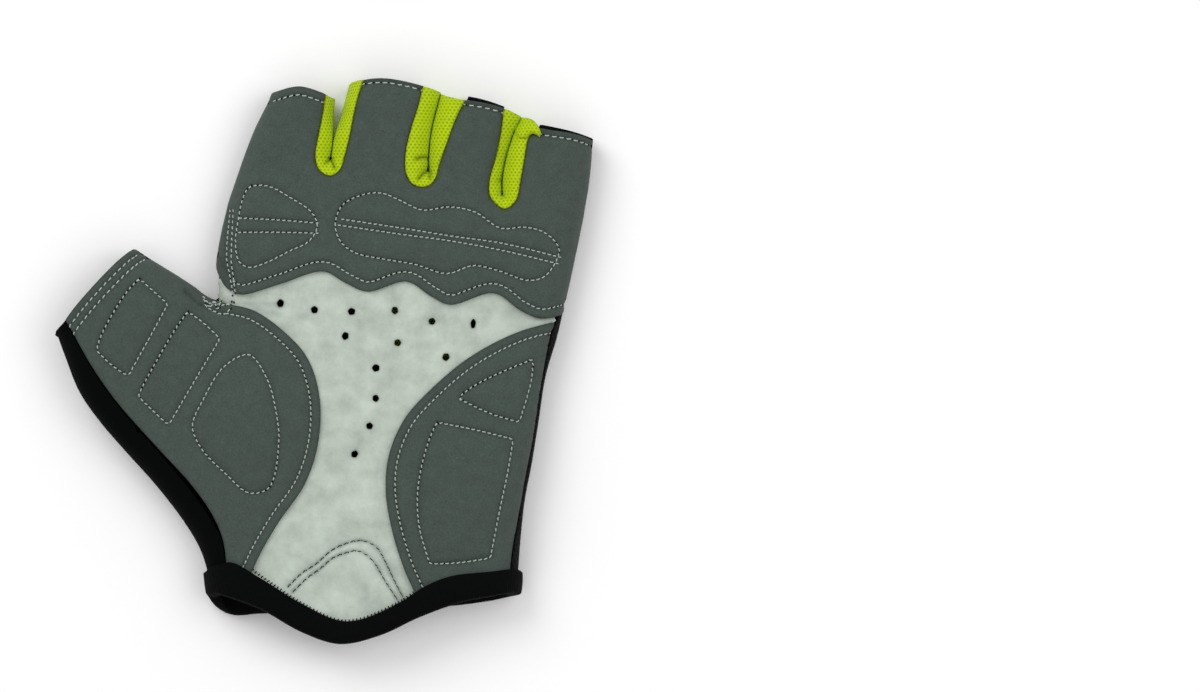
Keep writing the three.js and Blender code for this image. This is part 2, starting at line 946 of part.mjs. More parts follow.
const palmCuffCut = cuffCut(palmHemLine, middleHeight - seamGap, cutReach);
const palmCuffFullCut = cuffCut(palmHemLine, -cutReach, cutReach);
const backCuffCut = cuffCut(backHemCurve, -cutReach, middleHeight);

const fingerEdge = sideOf(fingerPanelEdge.map(place));
const thumbEdge = sideOf(thumbPanelEdge.map(place));
const thumbStrip = sideOf(thumbStripEdge.map(place));
const heelEdge = sideOf(heelPanelEdge.map(place));
const heelStrip = sideOf(heelStripEdge.map(place));
const backSeam = sideOf(thumbBackSeam.map(place));

const aboveFingerEdge = blockOf([...cutterLine(fingerEdge), far(1.5, 0.75), far(1.5, 3), far(-0.55, 3)]);
const insideThumbEdge = blockOf([...cutterLine(thumbEdge), far(-1.5, -0.5), far(-1.5, 1.3), far(-0.85, 1.3)]);
const insideHeelEdge = blockOf([...cutterLine(heelEdge), far(1.5, -0.5), far(1.5, 0.7)]);

function thumbStripBlock(distance, from) {
  const line = cutterLine(shifted(thumbStrip, distance), 4);
  return blockOf([...line, far(-1.5, -0.3), far(-1.5, 0.9)], from, cutReach);
}

function heelStripBlock(distance) {
  const line = cutterLine(shifted(heelStrip, distance), 4);
  return blockOf([...line, far(1.5, -0.3), far(1.5, 0.9)]);
}

const gussetBlocks = {};
for (const [name, rows] of Object.entries(gussets)) {
  const outer = gussetLine(rows, 0);
  gussetBlocks[name] = blockOf(cutterLine(outer, 5));
  gussetBlocks[`${name}_room`] = blockOf(cutterLine(shifted(outer, seamGap), 5));
}

function withoutGussets(solid) {
  let rest = solid;
  for (const name of Object.keys(gussets)) {
    rest = rest.subtract(gussetBlocks[`${name}_room`]);
  }
  return rest;
}

function largestPart(solid) {
  const parts = solid.decompose();
  parts.sort((a, b) => b.volume() - a.volume());
  return parts[0];
}

const solids = {};

const panelWall = wallOf(panelSheet, plainSheet, everywhere, [], panelLevel, clothThickness);
const clearPanelWall = panelWall.subtract(fingerCut).subtract(thumbCut).subtract(palmCuffFullCut);
solids.finger_panel = withoutGussets(clearPanelWall.intersect(aboveFingerEdge));
solids.thumb_panel = clearPanelWall.intersect(insideThumbEdge).subtract(thumbStripBlock(-seamGap, -cutReach));
solids.heel_panel = clearPanelWall.intersect(insideHeelEdge).subtract(heelStripBlock(seamGap));

const baseWall = wallOf(plainSheet, plainSheet, everywhere, [], baseLevel, layersDepth);
let base = baseWall.intersect(blockOf(baseOutline.map(place))).subtract(palmCuffFullCut);
for (const [across, along, stretch] of perforations) {
  const centre = place([across, along]);
  const hole = new THREE.CylinderGeometry(perforationWidth / 2, perforationWidth / 2, 2 * cutReach, 9);
  hole.rotateX(Math.PI / 2);
  hole.scale(1, stretch, 1);
  hole.translate(centre.x, centre.y, 0);
  base = base.subtract(manifoldOfGeometry(hole));
}
solids.palm_base = base;

const backSeamCut = cutterLine(backSeam, 5);
const backSeamRoom = cutterLine(shifted(backSeam, -seamGap), 5);
const thumbBackCorners = [far(-1.5, -0.4), far(-1.5, 1.3), far(-0.85, 1.3)];
const thumbBackWall = wallOf(plainSheet, plainSheet, ['thumb'], everywhere, panelLevel, clothThickness);
solids.thumb_back = thumbBackWall
  .intersect(blockOf([...backSeamCut, ...thumbBackCorners]))
  .subtract(blockOf([...cutterLine(thumbStrip, 4), far(1.5, -0.06), far(1.5, 2), far(-0.7, 2)], middleHeight + palmHeight * 0.6))
  .subtract(thumbCut)
  .subtract(palmCuffCut)
  .subtract(backCuffCut);

const insertLine = cutterLine(sideOf(insertOutline.map(place), true), 7);
insertLine.pop();
const backWall = wallOf(plainSheet, plainSheet, ['heel'], everywhere, panelLevel, clothThickness);
const heelTop = blockOf(
  [...cutterLine(heelStrip, 4), far(-1, -0.07), far(-1, 0.74)],
  middleHeight,
  cutReach,
);
solids.back_panel = withoutGussets(backWall)
  .subtract(blockOf([...backSeamRoom, ...thumbBackCorners]))
  .subtract(heelTop)
  .subtract(fingerBackCut)
  .subtract(palmCuffCut)
  .subtract(backCuffCut)
  .subtract(blockOf(insertLine.map((point) => point.clone()), -cutReach, middleHeight));

const insertCentre = place([0.056, 0.57]);
const insertInner = insertLine.map((point) => {
  const away = new THREE.Vector2().subVectors(point, insertCentre);
  return insertCentre.clone().add(away.setLength(away.length() - seamGap * 1.3));
});
solids.back_insert = backWall.intersect(blockOf(insertInner, -cutReach, middleHeight));

const gussetWall = wallOf(plainSheet, plainSheet, ['valley'], ['valley'], panelLevel, clothThickness);
for (const name of Object.keys(gussets)) {
  solids[name] = gussetWall.intersect(gussetBlocks[name]).subtract(fingerCut);
}

// The height along the glove of a fine line at one place across it.
function alongAt(line, x) {
  const index = Math.max(1, line.findIndex((point) => point.x >= x));
  const [a, b] = [line[index - 1], line[index]];
  return a.y + ((b.y - a.y) * (x - a.x)) / (b.x - a.x);
}

// The place across the glove where a side of the outline passes one height.
function acrossAt(line, y) {
  const index = line.findIndex((point, i) => i > 0 && (point.y - y) * (line[i - 1].y - y) <= 0);
  const [a, b] = [line[index - 1], line[index]];
  return a.x + ((b.x - a.x) * (y - a.y)) / (b.y - a.y);
}

// The binding: one folded section carried round the mouth of the cuff on the levels of the wall.
function bindingSolid() {
  const palmHem = sideOf(cuffPalmEdge.map(place));
  const palmTop = sideOf(bindingTopEdge.map(place));
  const backHem = sideOf(cuffBackEdge.map(place));
  const leftSide = sides[0].line;
  const rightSide = sides[sides.length - 1].line;
  const turns = rollAngles.slice(0, -1);
  const steps = 12;
  const stations = [];
  const shares = Array.from({ length: steps + 1 }, (_, i) => i / steps);
  turns.forEach((roll) => stations.push({ half: 'palm', share: 0, roll }));
  shares.forEach((share) => stations.push({ half: 'palm', share, roll: Math.PI / 2 }));
  [...turns].reverse().forEach((roll) => stations.push({ half: 'palm', share: 1, roll }));
  turns.slice(1).forEach((roll) => stations.push({ half: 'back', share: 1, roll }));
  [...shares].reverse().forEach((share) => stations.push({ half: 'back', share, roll: Math.PI / 2 }));
  turns.slice(1).reverse().forEach((roll) => stations.push({ half: 'back', share: 0, roll }));

  const pointOn = (station, y, level) => {
    const reach = rollWidth * (1 - Math.cos(station.roll));
    const left = acrossAt(leftSide, y) + reach;
    const right = acrossAt(rightSide, y) - reach;
    const flat = THREE.MathUtils.lerp(left, right, station.share);
    const inward = level * Math.cos(station.roll);
    const side = { x: flat, y, inX: 0, inY: 0, roll: station.roll };
    const [, , z] = carried({ ...side, roll: Math.PI / 2 }, station.half, level, true);
    const middle = middleHeight + liftAt(flat, y);
    const turned = Math.sin(station.roll);
    return [flat + (station.share === 0 ? inward : -inward), y, middle + (z - middle) * turned];
  };
  const sinkEase = 1.25 * bindingWidth;
  const sinkFrom = place([-0.4, 0]).x;
  const sinkTo = place([-0.03, 0]).x;
  const positions = [];
  for (const station of stations) {
    const turned = Math.sin(station.roll);
    const x = pointOn(station, 0, 0)[0];
    const seamHem = Math.min(alongAt(palmHem, x), alongAt(backHem, x));
    const onPalm = station.half === 'palm';
    const hem = THREE.MathUtils.lerp(seamHem, alongAt(onPalm ? palmHem : backHem, x), smoothShare(turned * 1.3));
    const palmWide = alongAt(palmTop, x) - alongAt(palmHem, x);
    const wide = onPalm ? THREE.MathUtils.lerp(bindingWidth, palmWide, turned) : bindingWidth;
    const sunk = onPalm ? smoothShare((x - sinkFrom) / sinkEase) * smoothShare((sinkTo - x) / sinkEase) : 0;
    const outer = baseLevel * sunk - bindingGap;
    const depth = onPalm ? layersDepth : THREE.MathUtils.lerp(layersDepth, clothThickness, turned);
    const inner = depth + bindingGap;
    const round = bindingThickness * 0.45;
    const section = [
      [wide, outer],
      [wide, outer - bindingThickness + round * 0.5],
      [wide - round, outer - bindingThickness],
      [wide / 2, outer - bindingThickness],
      [round, outer - bindingThickness],
      [0, outer - bindingThickness + round],
      [0, inner + bindingThickness * 0.7 - round],
      [round, inner + bindingThickness * 0.7],
      [wide / 2, inner + bindingThickness * 0.7],
      [wide, inner + bindingThickness * 0.7],
      [wide, inner],
      [wide / 2, inner],
      [bindingThickness, inner],
      [bindingThickness, outer],
      [wide / 2, outer],
    ];
    for (const [reach, level] of section) {
      positions.push(pointOn(station, hem + reach, level));
    }
  }
  const corners = positions.length / stations.length;
  const triangles = [];
  stations.forEach((_, i) => {
    const next = (i + 1) % stations.length;
    for (let k = 0; k < corners; k++) {
      const a = i * corners + k;
      const b = i * corners + ((k + 1) % corners);
      const c = next * corners + ((k + 1) % corners);
      const d = next * corners + k;
      triangles.push([a, b, c], [a, c, d]);
    }
  });
  return manifoldOf(positions, triangles);
}

solids.cuff_binding = bindingSolid();

const finishes = {
  finger_panel: { color: 0x49534d, roughness: 0.88, metalness: 0 },
  thumb_panel: { color: 0x49534d, roughness: 0.88, metalness: 0 },
  heel_panel: { color: 0x49534d, roughness: 0.88, metalness: 0 },
  palm_base: { color: 0xbfc9bc, roughness: 0.72, metalness: 0 },
  gusset_index_middle: { color: 0xabc51b, roughness: 0.8, metalness: 0 },
  gusset_middle_ring: { color: 0xabc51b, roughness: 0.8, metalness: 0 },
  gusset_ring_little: { color: 0xabc51b, roughness: 0.8, metalness: 0 },
  back_insert: { color: 0xabc51b, roughness: 0.8, metalness: 0 },
  back_panel: { color: 0x111312, roughness: 0.85, metalness: 0 },
  thumb_back: { color: 0x111312, roughness: 0.75, metalness: 0 },
  cuff_binding: { color: 0x141615, roughness: 0.8, metalness: 0 },
};

function geometryOf(solid) {
  const mesh = solid.getMesh();
  const geometry = new THREE.BufferGeometry();
  geometry.setAttribute('position', new THREE.BufferAttribute(new Float32Array(mesh.vertProperties), 3));
  geometry.setIndex(Array.from(mesh.triVerts));
  geometry.computeVertexNormals();
  return geometry;
}

const glove = new THREE.Group();
glove.name = 'cycling_glove';
const bounds = new THREE.Box3();
for (const [name, finish] of Object.entries(finishes)) {
  const mesh = new THREE.Mesh(geometryOf(largestPart(solids[name])), new THREE.MeshStandardMaterial(finish));
  mesh.name = name;
  glove.add(mesh);
  mesh.geometry.computeBoundingBox();
  bounds.union(mesh.geometry.boundingBox);
}
const centre = bounds.getCenter(new THREE.Vector3());
for (const mesh of glove.children) {
  mesh.geometry.translate(-centre.x, -centre.y, -bounds.min.z);
}

export default glove;
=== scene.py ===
# Half-finger cycling glove, palm up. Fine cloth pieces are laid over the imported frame.
import bpy
import math
import numpy as np
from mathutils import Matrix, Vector
from mathutils.geometry import delaunay_2d_cdt


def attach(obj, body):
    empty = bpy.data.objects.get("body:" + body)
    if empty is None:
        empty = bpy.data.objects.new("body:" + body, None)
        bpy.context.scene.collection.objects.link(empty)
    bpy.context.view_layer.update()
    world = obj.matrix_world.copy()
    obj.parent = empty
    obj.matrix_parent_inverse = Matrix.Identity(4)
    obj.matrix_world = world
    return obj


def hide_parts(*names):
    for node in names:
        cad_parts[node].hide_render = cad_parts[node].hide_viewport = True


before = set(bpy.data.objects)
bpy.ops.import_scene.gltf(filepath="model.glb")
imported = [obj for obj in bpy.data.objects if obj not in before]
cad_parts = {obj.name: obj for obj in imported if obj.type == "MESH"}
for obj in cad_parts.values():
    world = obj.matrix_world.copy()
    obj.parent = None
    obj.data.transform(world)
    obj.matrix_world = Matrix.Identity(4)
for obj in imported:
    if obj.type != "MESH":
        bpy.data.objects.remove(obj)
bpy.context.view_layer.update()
print("frame loaded")

# Sizes of the glove in millimetres, the same as in the part's own source
glove = {
    "palmWidth": 108, "palmLength": 127, "fingerReach": 30, "thumbReach": 28.5, "thumbAngle": 42.5,
    "clothThickness": 1.2, "seamGap": 0.3, "bindingGap": 0.42, "rollWidth": 7.5,
    "palmHeight": 8, "backHeight": 6, "reliefHeight": 3.4, "tipLift": 2.4,
    "padHeight": 1.5, "padShoulder": 1.7, "bindingWidth": 7.2, "bindingThickness": 1,
    "perforationWidth": 2, "meshProud": 1,
    "centreAcross": -22.651, "centreAlong": 72.722,
}
baseLevel = glove["clothThickness"] + glove["seamGap"]
layersDepth = baseLevel + glove["clothThickness"]
hemInset = glove["bindingThickness"] + 1.6 * glove["bindingGap"]
cuffRise = glove["bindingThickness"] + 2 * glove["bindingGap"]
thumbDirection = math.radians(180 - glove["thumbAngle"])

# Outline, clockwise from the cuff. Columns: across, along, beyond, out
thumbOuterSide = [
    (-0.508, -0.18), (-0.516, -0.095), (-0.53, 0), (-0.539, 0.064), (-0.561, 0.124), (-0.609, 0.193),
    (-0.687, 0.279), (-0.772, 0.36), (-0.837, 0.426, 0, 0.03), (-0.822, 0.44, 0, 0.39),
    (-0.791, 0.468, 0, 0.75), (-0.765, 0.493, 0, 1.03), (-0.727, 0.528, 0, 1.4),
]

crotchSide = [
    (-0.556, 0.686, 0, 1.28), (-0.552, 0.69, 0, 1), (-0.542, 0.699, 0, 0.65), (-0.53, 0.71, 0, 0.27),
    (-0.527, 0.714, 0, 0.08), (-0.519, 0.718), (-0.505, 0.735), (-0.511, 0.768), (-0.516, 0.806),
    (-0.502, 0.871), (-0.483, 0.942), (-0.449, 1, 0.11), (-0.41, 1, 0.49), (-0.359, 1, 0.88),
    (-0.32, 1, 1.22),
]

littleSide = [
    (0.55, 1, 0.72), (0.536, 1, 0.31), (0.527, 1, 0.01), (0.511, 0.919), (0.483, 0.799),
    (0.457, 0.697),
]

heelSide = [
    (0.457, 0.697), (0.44, 0.634), (0.407, 0.537), (0.387, 0.429), (0.368, 0.329), (0.348, 0.239),
    (0.334, 0.124), (0.328, 0.048), (0.32, -0.06), (0.311, -0.18),
]

indexMiddleGusset = [
    (-0.205, 0.86, -0.182, 0.84), (-0.216, 0.64, -0.187, 0.65), (-0.23, 0.4, -0.191, 0.47),
    (-0.236, 0.26, -0.196, 0.33), (-0.227, 0.12, -0.2, 0.24), (-0.196, 0.05, -0.195, 0.21),
    (-0.168, 0.11, -0.19, 0.24), (-0.154, 0.26, -0.185, 0.33), (-0.14, 0.46, -0.177, 0.49),
    (-0.126, 0.72, -0.163, 0.7), (-0.104, 1.01, -0.143, 0.97),
]

middleRingGusset = [
    (0.067, 0.95, 0.11, 0.92), (0.051, 0.74, 0.097, 0.74), (0.031, 0.51, 0.081, 0.53),
    (0.017, 0.29, 0.074, 0.33), (0.017, 0.09, 0.072, 0.18), (0.035, -0.03, 0.074, 0.12),
    (0.07, -0.06, 0.078, 0.1), (0.095, 0, 0.082, 0.13), (0.112, 0.19, 0.085, 0.21),
    (0.132, 0.39, 0.09, 0.39), (0.157, 0.63, 0.1, 0.59), (0.182, 0.81, 0.119, 0.87),
]

ringLittleGusset = [
    (0.292, 0.72, 0.337, 0.7), (0.283, 0.49, 0.314, 0.51), (0.269, 0.25, 0.294, 0.27),
    (0.25, -0.01, 0.281, 0.01), (0.253, -0.16, 0.28, -0.09), (0.292, -0.28, 0.285, -0.14),
    (0.323, -0.2, 0.29, -0.09), (0.337, 0.01, 0.29, 0.03), (0.348, 0.23, 0.302, 0.25),
    (0.359, 0.44, 0.323, 0.47), (0.387, 0.57, 0.346, 0.63),
]

fingerPanelEdge = [
    (-0.575, 0.86), (-0.53, 0.805), (-0.507, 0.772), (-0.492, 0.75), (-0.466, 0.735), (-0.438, 0.73),
    (-0.331, 0.756), (-0.213, 0.785), (-0.154, 0.759), (-0.09, 0.737), (0.02, 0.761), (0.084, 0.728),
    (0.14, 0.706), (0.264, 0.733), (0.337, 0.692), (0.393, 0.673), (0.457, 0.682), (0.519, 0.702),
    (0.58, 0.71),
]

thumbPanelEdge = [
    (-0.58, 0.755), (-0.547, 0.73), (-0.491, 0.711), (-0.407, 0.692), (-0.323, 0.642), (-0.258, 0.58),
    (-0.224, 0.489), (-0.227, 0.382), (-0.264, 0.282), (-0.337, 0.191), (-0.387, 0.119),
    (-0.421, 0.057), (-0.449, 0), (-0.47, -0.1),
]

thumbStripEdge = [
    (-0.72, 0.535, 0, 1.3), (-0.735, 0.521, 0, 1.1), (-0.75, 0.506, 0, 0.83), (-0.772, 0.486, 0, 0.43),
    (-0.786, 0.468), (-0.673, 0.36), (-0.584, 0.277), (-0.525, 0.205), (-0.497, 0.148),
    (-0.488, 0.091), (-0.488, 0.024), (-0.488, -0.06),
]

heelPanelEdge = [
    (0.56, 0.668), (0.491, 0.666), (0.407, 0.659), (0.323, 0.639), (0.196, 0.582), (0.084, 0.503),
    (0.011, 0.432), (-0.031, 0.346), (-0.039, 0.262), (-0.022, 0.172), (0.011, 0.081), (0.045, 0.014),
    (0.07, -0.06),
]

heelStripEdge = [
    (0.478, 0.74), (0.449, 0.69), (0.425, 0.632), (0.403, 0.544), (0.38, 0.418), (0.352, 0.286),
    (0.329, 0.179), (0.314, 0.103), (0.307, 0), (0.3, -0.07),
]

thumbBackSeam = [
    (-0.535, 0.79), (-0.516, 0.742), (-0.488, 0.68), (-0.421, 0.597), (-0.387, 0.429), (-0.404, 0.239),
    (-0.438, 0.095), (-0.455, -0.095),
]

cuffPalmEdge = [
    (-0.62, 0.03), (-0.53, 0.022), (-0.477, 0.01), (-0.393, -0.017), (-0.281, -0.072), (-0.174, -0.1),
    (-0.056, -0.079), (0.056, -0.036), (0.168, -0.002), (0.26, 0.013), (0.33, 0.022), (0.4, 0.026),
]

bindingTopEdge = [
    (-0.62, 0.095), (-0.53, 0.085), (-0.485, 0.092), (-0.449, 0.094), (-0.387, 0.06), (-0.281, 0),
    (-0.174, -0.043), (-0.112, -0.041), (0, 0), (0.07, 0.038), (0.14, 0.062), (0.26, 0.074),
    (0.33, 0.084), (0.4, 0.095),
]

cuffBackEdge = [
    (-0.62, 0.03), (-0.545, 0.02), (-0.53, 0.012), (-0.523, -0.002), (-0.511, -0.019), (-0.494, -0.029),
    (-0.472, -0.034), (-0.444, -0.034), (-0.416, -0.031), (-0.387, -0.03), (-0.14, -0.019),
    (0.112, -0.014), (0.25, 0), (0.33, 0.014), (0.4, 0.02),
]

fingerHem = [
    (-0.45, 1, 0.7), (-0.387, 1, 0.86), (-0.351, 1, 0.9), (-0.281, 1, 0.95), (-0.219, 1, 0.89),
    (-0.178, 1, 0.83), (-0.14, 1, 0.98), (-0.095, 1, 1.02), (-0.042, 1, 1.03), (0.014, 1, 1),
    (0.084, 1, 0.93), (0.113, 1, 0.88), (0.154, 1, 0.83), (0.224, 1, 0.79), (0.272, 1, 0.75),
    (0.32, 1, 0.68), (0.351, 1, 0.57), (0.407, 1, 0.52), (0.477, 1, 0.48), (0.519, 1, 0.44),
    (0.6, 1, 0.32),
]

thumbHem = [
    (-0.52, 0.718, 0, 0.94), (-0.556, 0.686, 0, 1), (-0.66, 0.588, 0, 1.035), (-0.75, 0.506, 0, 1),
    (-0.8, 0.46, 0, 0.94),
]

baseOutline = [
    (-0.6, 0.716), (-0.556, 0.787), (-0.477, 0.797), (-0.331, 0.818), (-0.213, 0.847), (-0.09, 0.806),
    (0.02, 0.823), (0.14, 0.775), (0.264, 0.795), (0.393, 0.74), (0.56, 0.728), (0.56, 0.628),
    (0.407, 0.597), (0.323, 0.577), (0.224, 0.525), (0.126, 0.453), (0.07, 0.382), (0.036, 0.298),
    (0.034, 0.251), (0.048, 0.179), (0.084, 0.072), (0.112, -0.048), (0, -0.2), (-0.561, -0.2),
    (-0.547, -0.024), (-0.499, 0.06), (-0.463, 0.131), (-0.407, 0.215), (-0.337, 0.298),
    (-0.303, 0.394), (-0.309, 0.501), (-0.351, 0.58), (-0.421, 0.632), (-0.519, 0.663),
]

insertOutline = [
    (-0.079, 0.735), (0.056, 0.749), (0.174, 0.716), (0.191, 0.597), (0.154, 0.477), (0.07, 0.406),
    (-0.014, 0.429), (-0.062, 0.573),
]

padOutlines = {
    "index": [
        (-0.421, 0.985), (-0.37, 0.988), (-0.303, 0.959), (-0.247, 0.926), (-0.23, 0.892),
        (-0.253, 0.857), (-0.309, 0.833), (-0.365, 0.809), (-0.421, 0.795), (-0.449, 0.809),
        (-0.46, 0.854), (-0.452, 0.911), (-0.438, 0.964),
    ],
    "knuckles": [
        (-0.18, 0.897), (-0.16, 0.942), (-0.107, 0.966), (-0.051, 0.971), (0, 0.954), (0.062, 0.931),
        (0.14, 0.938), (0.21, 0.926), (0.281, 0.888), (0.351, 0.89), (0.407, 0.876), (0.446, 0.835),
        (0.407, 0.775), (0.359, 0.764), (0.275, 0.787), (0.205, 0.799), (0.132, 0.78), (0.042, 0.802),
        (-0.042, 0.814), (-0.126, 0.83), (-0.166, 0.857),
    ],
    "thumbTip": [
        (-0.586, 0.659, 0, 0.72), (-0.586, 0.659, 0, 0.52), (-0.585, 0.659, 0, 0.32),
        (-0.661, 0.589, 0, 0.21), (-0.736, 0.52, 0, 0.11), (-0.742, 0.514, 0, 0.3),
        (-0.74, 0.515, 0, 0.54), (-0.713, 0.541, 0, 0.62), (-0.625, 0.622, 0, 0.73),
    ],
    "thumbRoot": [
        (-0.592, 0.69), (-0.547, 0.663), (-0.502, 0.625), (-0.547, 0.561), (-0.589, 0.501),
        (-0.645, 0.42), (-0.687, 0.453), (-0.73, 0.489), (-0.71, 0.525), (-0.631, 0.644),
    ],
    "thenar": [
        (-0.421, 0.587), (-0.491, 0.558), (-0.547, 0.482), (-0.578, 0.418), (-0.553, 0.365),
        (-0.483, 0.303), (-0.421, 0.26), (-0.365, 0.272), (-0.337, 0.382), (-0.345, 0.453),
        (-0.37, 0.53),
    ],
    "heelUpper": [
        (0.163, 0.484), (0.199, 0.511), (0.281, 0.546), (0.373, 0.577), (0.37, 0.525), (0.351, 0.47),
        (0.334, 0.427), (0.253, 0.446),
    ],
    "heelLower": [
        (0.104, 0.427), (0.21, 0.41), (0.317, 0.387), (0.303, 0.31), (0.278, 0.215), (0.253, 0.105),
        (0.168, 0.093), (0.084, 0.091), (0.051, 0.179), (0.048, 0.274), (0.076, 0.375),
    ],
}

# Punched holes. Columns: across, along, stretch, turn in degrees, share of the punch's width
perforations = [
    (-0.334, 0.709, 1.15, -12, 1), (-0.238, 0.694, 1.05, 20, 1), (-0.135, 0.69, 0.95, 0, 1.06),
    (-0.014, 0.692, 1.12, 8, 0.94), (0.09, 0.666, 1, 0, 0.98), (0.205, 0.661, 1.9, -4, 0.72),
    (-0.152, 0.632, 1.18, -14, 0.96), (-0.006, 0.616, 1, 10, 0.98), (0.129, 0.582, 1.08, -25, 1.02),
    (-0.067, 0.556, 0.98, 0, 1.08), (-0.067, 0.484, 1.1, 12, 0.92), (-0.084, 0.418, 1, 0, 0.96),
    (-0.126, 0.351, 1.12, -40, 0.94),
]

# Broad swells of the palm. Columns: across, along, radius and height as shares
reliefs = [
    (-0.435, 0.43, 0.25, 0.9), (0, 0.5, 0.34, 0.75), (0.2, 0.26, 0.24, 0.6), (0.1, 0.88, 0.3, 0.55),
    (-0.34, 0.88, 0.16, 0.4), (-0.16, 0.04, 0.26, 0.75), (-0.757, 0.667, 0.15, 0.5),
    (-0.22, 0.3, 0.13, -0.55), (-0.5, 0.66, 0.12, -0.5), (0.33, 0.66, 0.13, -0.35),
]


def place(row):
    across, along, beyond, out = (tuple(row) + (0, 0))[:4]
    x = across * glove["palmWidth"] + out * glove["thumbReach"] * math.cos(thumbDirection)
    y = along * glove["palmLength"] + beyond * glove["fingerReach"]
    return x, y + out * glove["thumbReach"] * math.sin(thumbDirection)


def smoothShare(value):
    share = np.clip(value, 0, 1)
    return share * share * (3 - 2 * share)


def unit(vectors):
    return vectors / np.maximum(np.linalg.norm(vectors, axis=-1, keepdims=True), 1e-9)


# A centripetal curve through the rows, in steps of about one length.
def smoothLine(rows, step=1.0, closed=False, placed=False):
    points = np.array(rows if placed else [place(row) for row in rows], float)
    if closed:
        ring = np.vstack([points[-1], points, points[0], points[1]])
    else:
        ring = np.vstack([2 * points[0] - points[1], points, 2 * points[-1] - points[-2]])
    line = []
    for i in range(len(ring) - 3):
        before, start, end, after = ring[i:i + 4]
        spans = [max(np.linalg.norm(b - a), 1e-6) ** 0.5
                 for a, b in ((before, start), (start, end), (end, after))]
        pullA = ((start - before) / spans[0] - (end - before) / (spans[0] + spans[1])
                 + (end - start) / spans[1]) * spans[1]
        pullB = ((end - start) / spans[1] - (after - start) / (spans[1] + spans[2])
                 + (after - end) / spans[2]) * spans[1]
        count = max(1, round(np.linalg.norm(end - start) / step))
        t = (np.arange(count) / count)[:, None]
        line.append(start + pullA * t + (3 * (end - start) - 2 * pullA - pullB) * t ** 2
                    + (2 * (start - end) + pullA + pullB) * t ** 3)
    if not closed:
        line.append(ring[-2][None])
    return np.vstack(line)


def straightLine(rows, step=1.0):
    points = np.array([place(row) for row in rows])
    line = []
    for start, end in zip(points[:-1], points[1:]):
        count = max(1, round(np.linalg.norm(end - start) / step))
        line.append(start + (end - start) * (np.arange(count) / count)[:, None])
    line.append(points[-1:])
    return np.vstack(line)


def resampled(line, step):
    run = np.concatenate([[0], np.cumsum(np.linalg.norm(np.diff(line, axis=0), axis=1))])
    at = np.linspace(0, run[-1], max(2, round(run[-1] / step) + 1))
    return np.stack([np.interp(at, run, line[:, k]) for k in range(line.shape[1])], 1)


# A closed loop of straight runs, whose sharp corners keep only a small radius.
def corneredLoop(rows, radius):
    points = np.array([place(row) for row in rows])
    loop = []
    for i, corner in enumerate(points):
        back, on = points[i - 1] - corner, points[(i + 1) % len(points)] - corner
        backLength, onLength = np.linalg.norm(back), np.linalg.norm(on)
        soft = -(back @ on) / (backLength * onLength) > 0.8
        start = corner + back * (0.48 if soft else min(0.48, radius / backLength))
        end = corner + on * (0.48 if soft else min(0.48, radius / onLength))
        for t in (0, 0.25, 0.5, 0.75, 1):
            loop.append(start * (1 - t) ** 2 + corner * 2 * t * (1 - t) + end * t ** 2)
    return resampled(np.array(loop + loop[:1]), 0.8)


# The way inwards from a line that runs clockwise round the glove.
def inwardNormals(line):
    along = unit(np.gradient(line, axis=0))
    return np.stack([along[:, 1], -along[:, 0]], 1)


def shifted(line, distance):
    return line + inwardNormals(line) * distance


def lengthened(points, length):
    points = np.array(points, float)
    first = points[0] + unit(points[0] - points[1]) * length
    last = points[-1] + unit(points[-1] - points[-2]) * length
    return np.vstack([first, points, last])


def gussetLine(rows, column):
    points = [place((row[column], 1, row[column + 1])) for row in rows]
    return smoothLine(lengthened(points, glove["fingerReach"] * 0.4), placed=True)


def farOff(across, along):
    return np.array([[across * glove["palmWidth"], along * glove["palmLength"]]])


def insideLoop(points, loop):
    inside = np.zeros(len(points), bool)
    ends = np.roll(loop, 1, axis=0)
    for a, b in zip(loop, ends):
        if a[1] == b[1]:
            continue
        crosses = (a[1] > points[:, 1]) != (b[1] > points[:, 1])
        inside ^= crosses & (points[:, 0] < (b[0] - a[0]) * (points[:, 1] - a[1]) / (b[1] - a[1]) + a[0])
    return inside


# The nearest place on the segments for each point: distance, segment and share along it.
def nearestOn(points, starts, ends):
    spans = ends - starts
    lengths = np.maximum((spans ** 2).sum(1), 1e-12)
    distance = np.empty(len(points))
    which = np.empty(len(points), int)
    share = np.empty(len(points))
    for first in range(0, len(points), 3000):
        part = points[first:first + 3000]
        gapX = part[:, None, 0] - starts[None, :, 0]
        gapY = part[:, None, 1] - starts[None, :, 1]
        t = np.clip((gapX * spans[:, 0] + gapY * spans[:, 1]) / lengths, 0, 1)
        far = (gapX - t * spans[:, 0]) ** 2 + (gapY - t * spans[:, 1]) ** 2
        nearest = far.argmin(1)
        rows = np.arange(len(part))
        distance[first:first + 3000] = np.sqrt(far[rows, nearest])
        which[first:first + 3000] = nearest
        share[first:first + 3000] = t[rows, nearest]
    return distance, which, share


def distanceTo(points, lines):
    if not len(lines):
        return np.full(len(points), 1e3)
    starts = np.vstack([line[:-1] for line in lines])
    ends = np.vstack([line[1:] for line in lines])
    return nearestOn(points, starts, ends)[0]


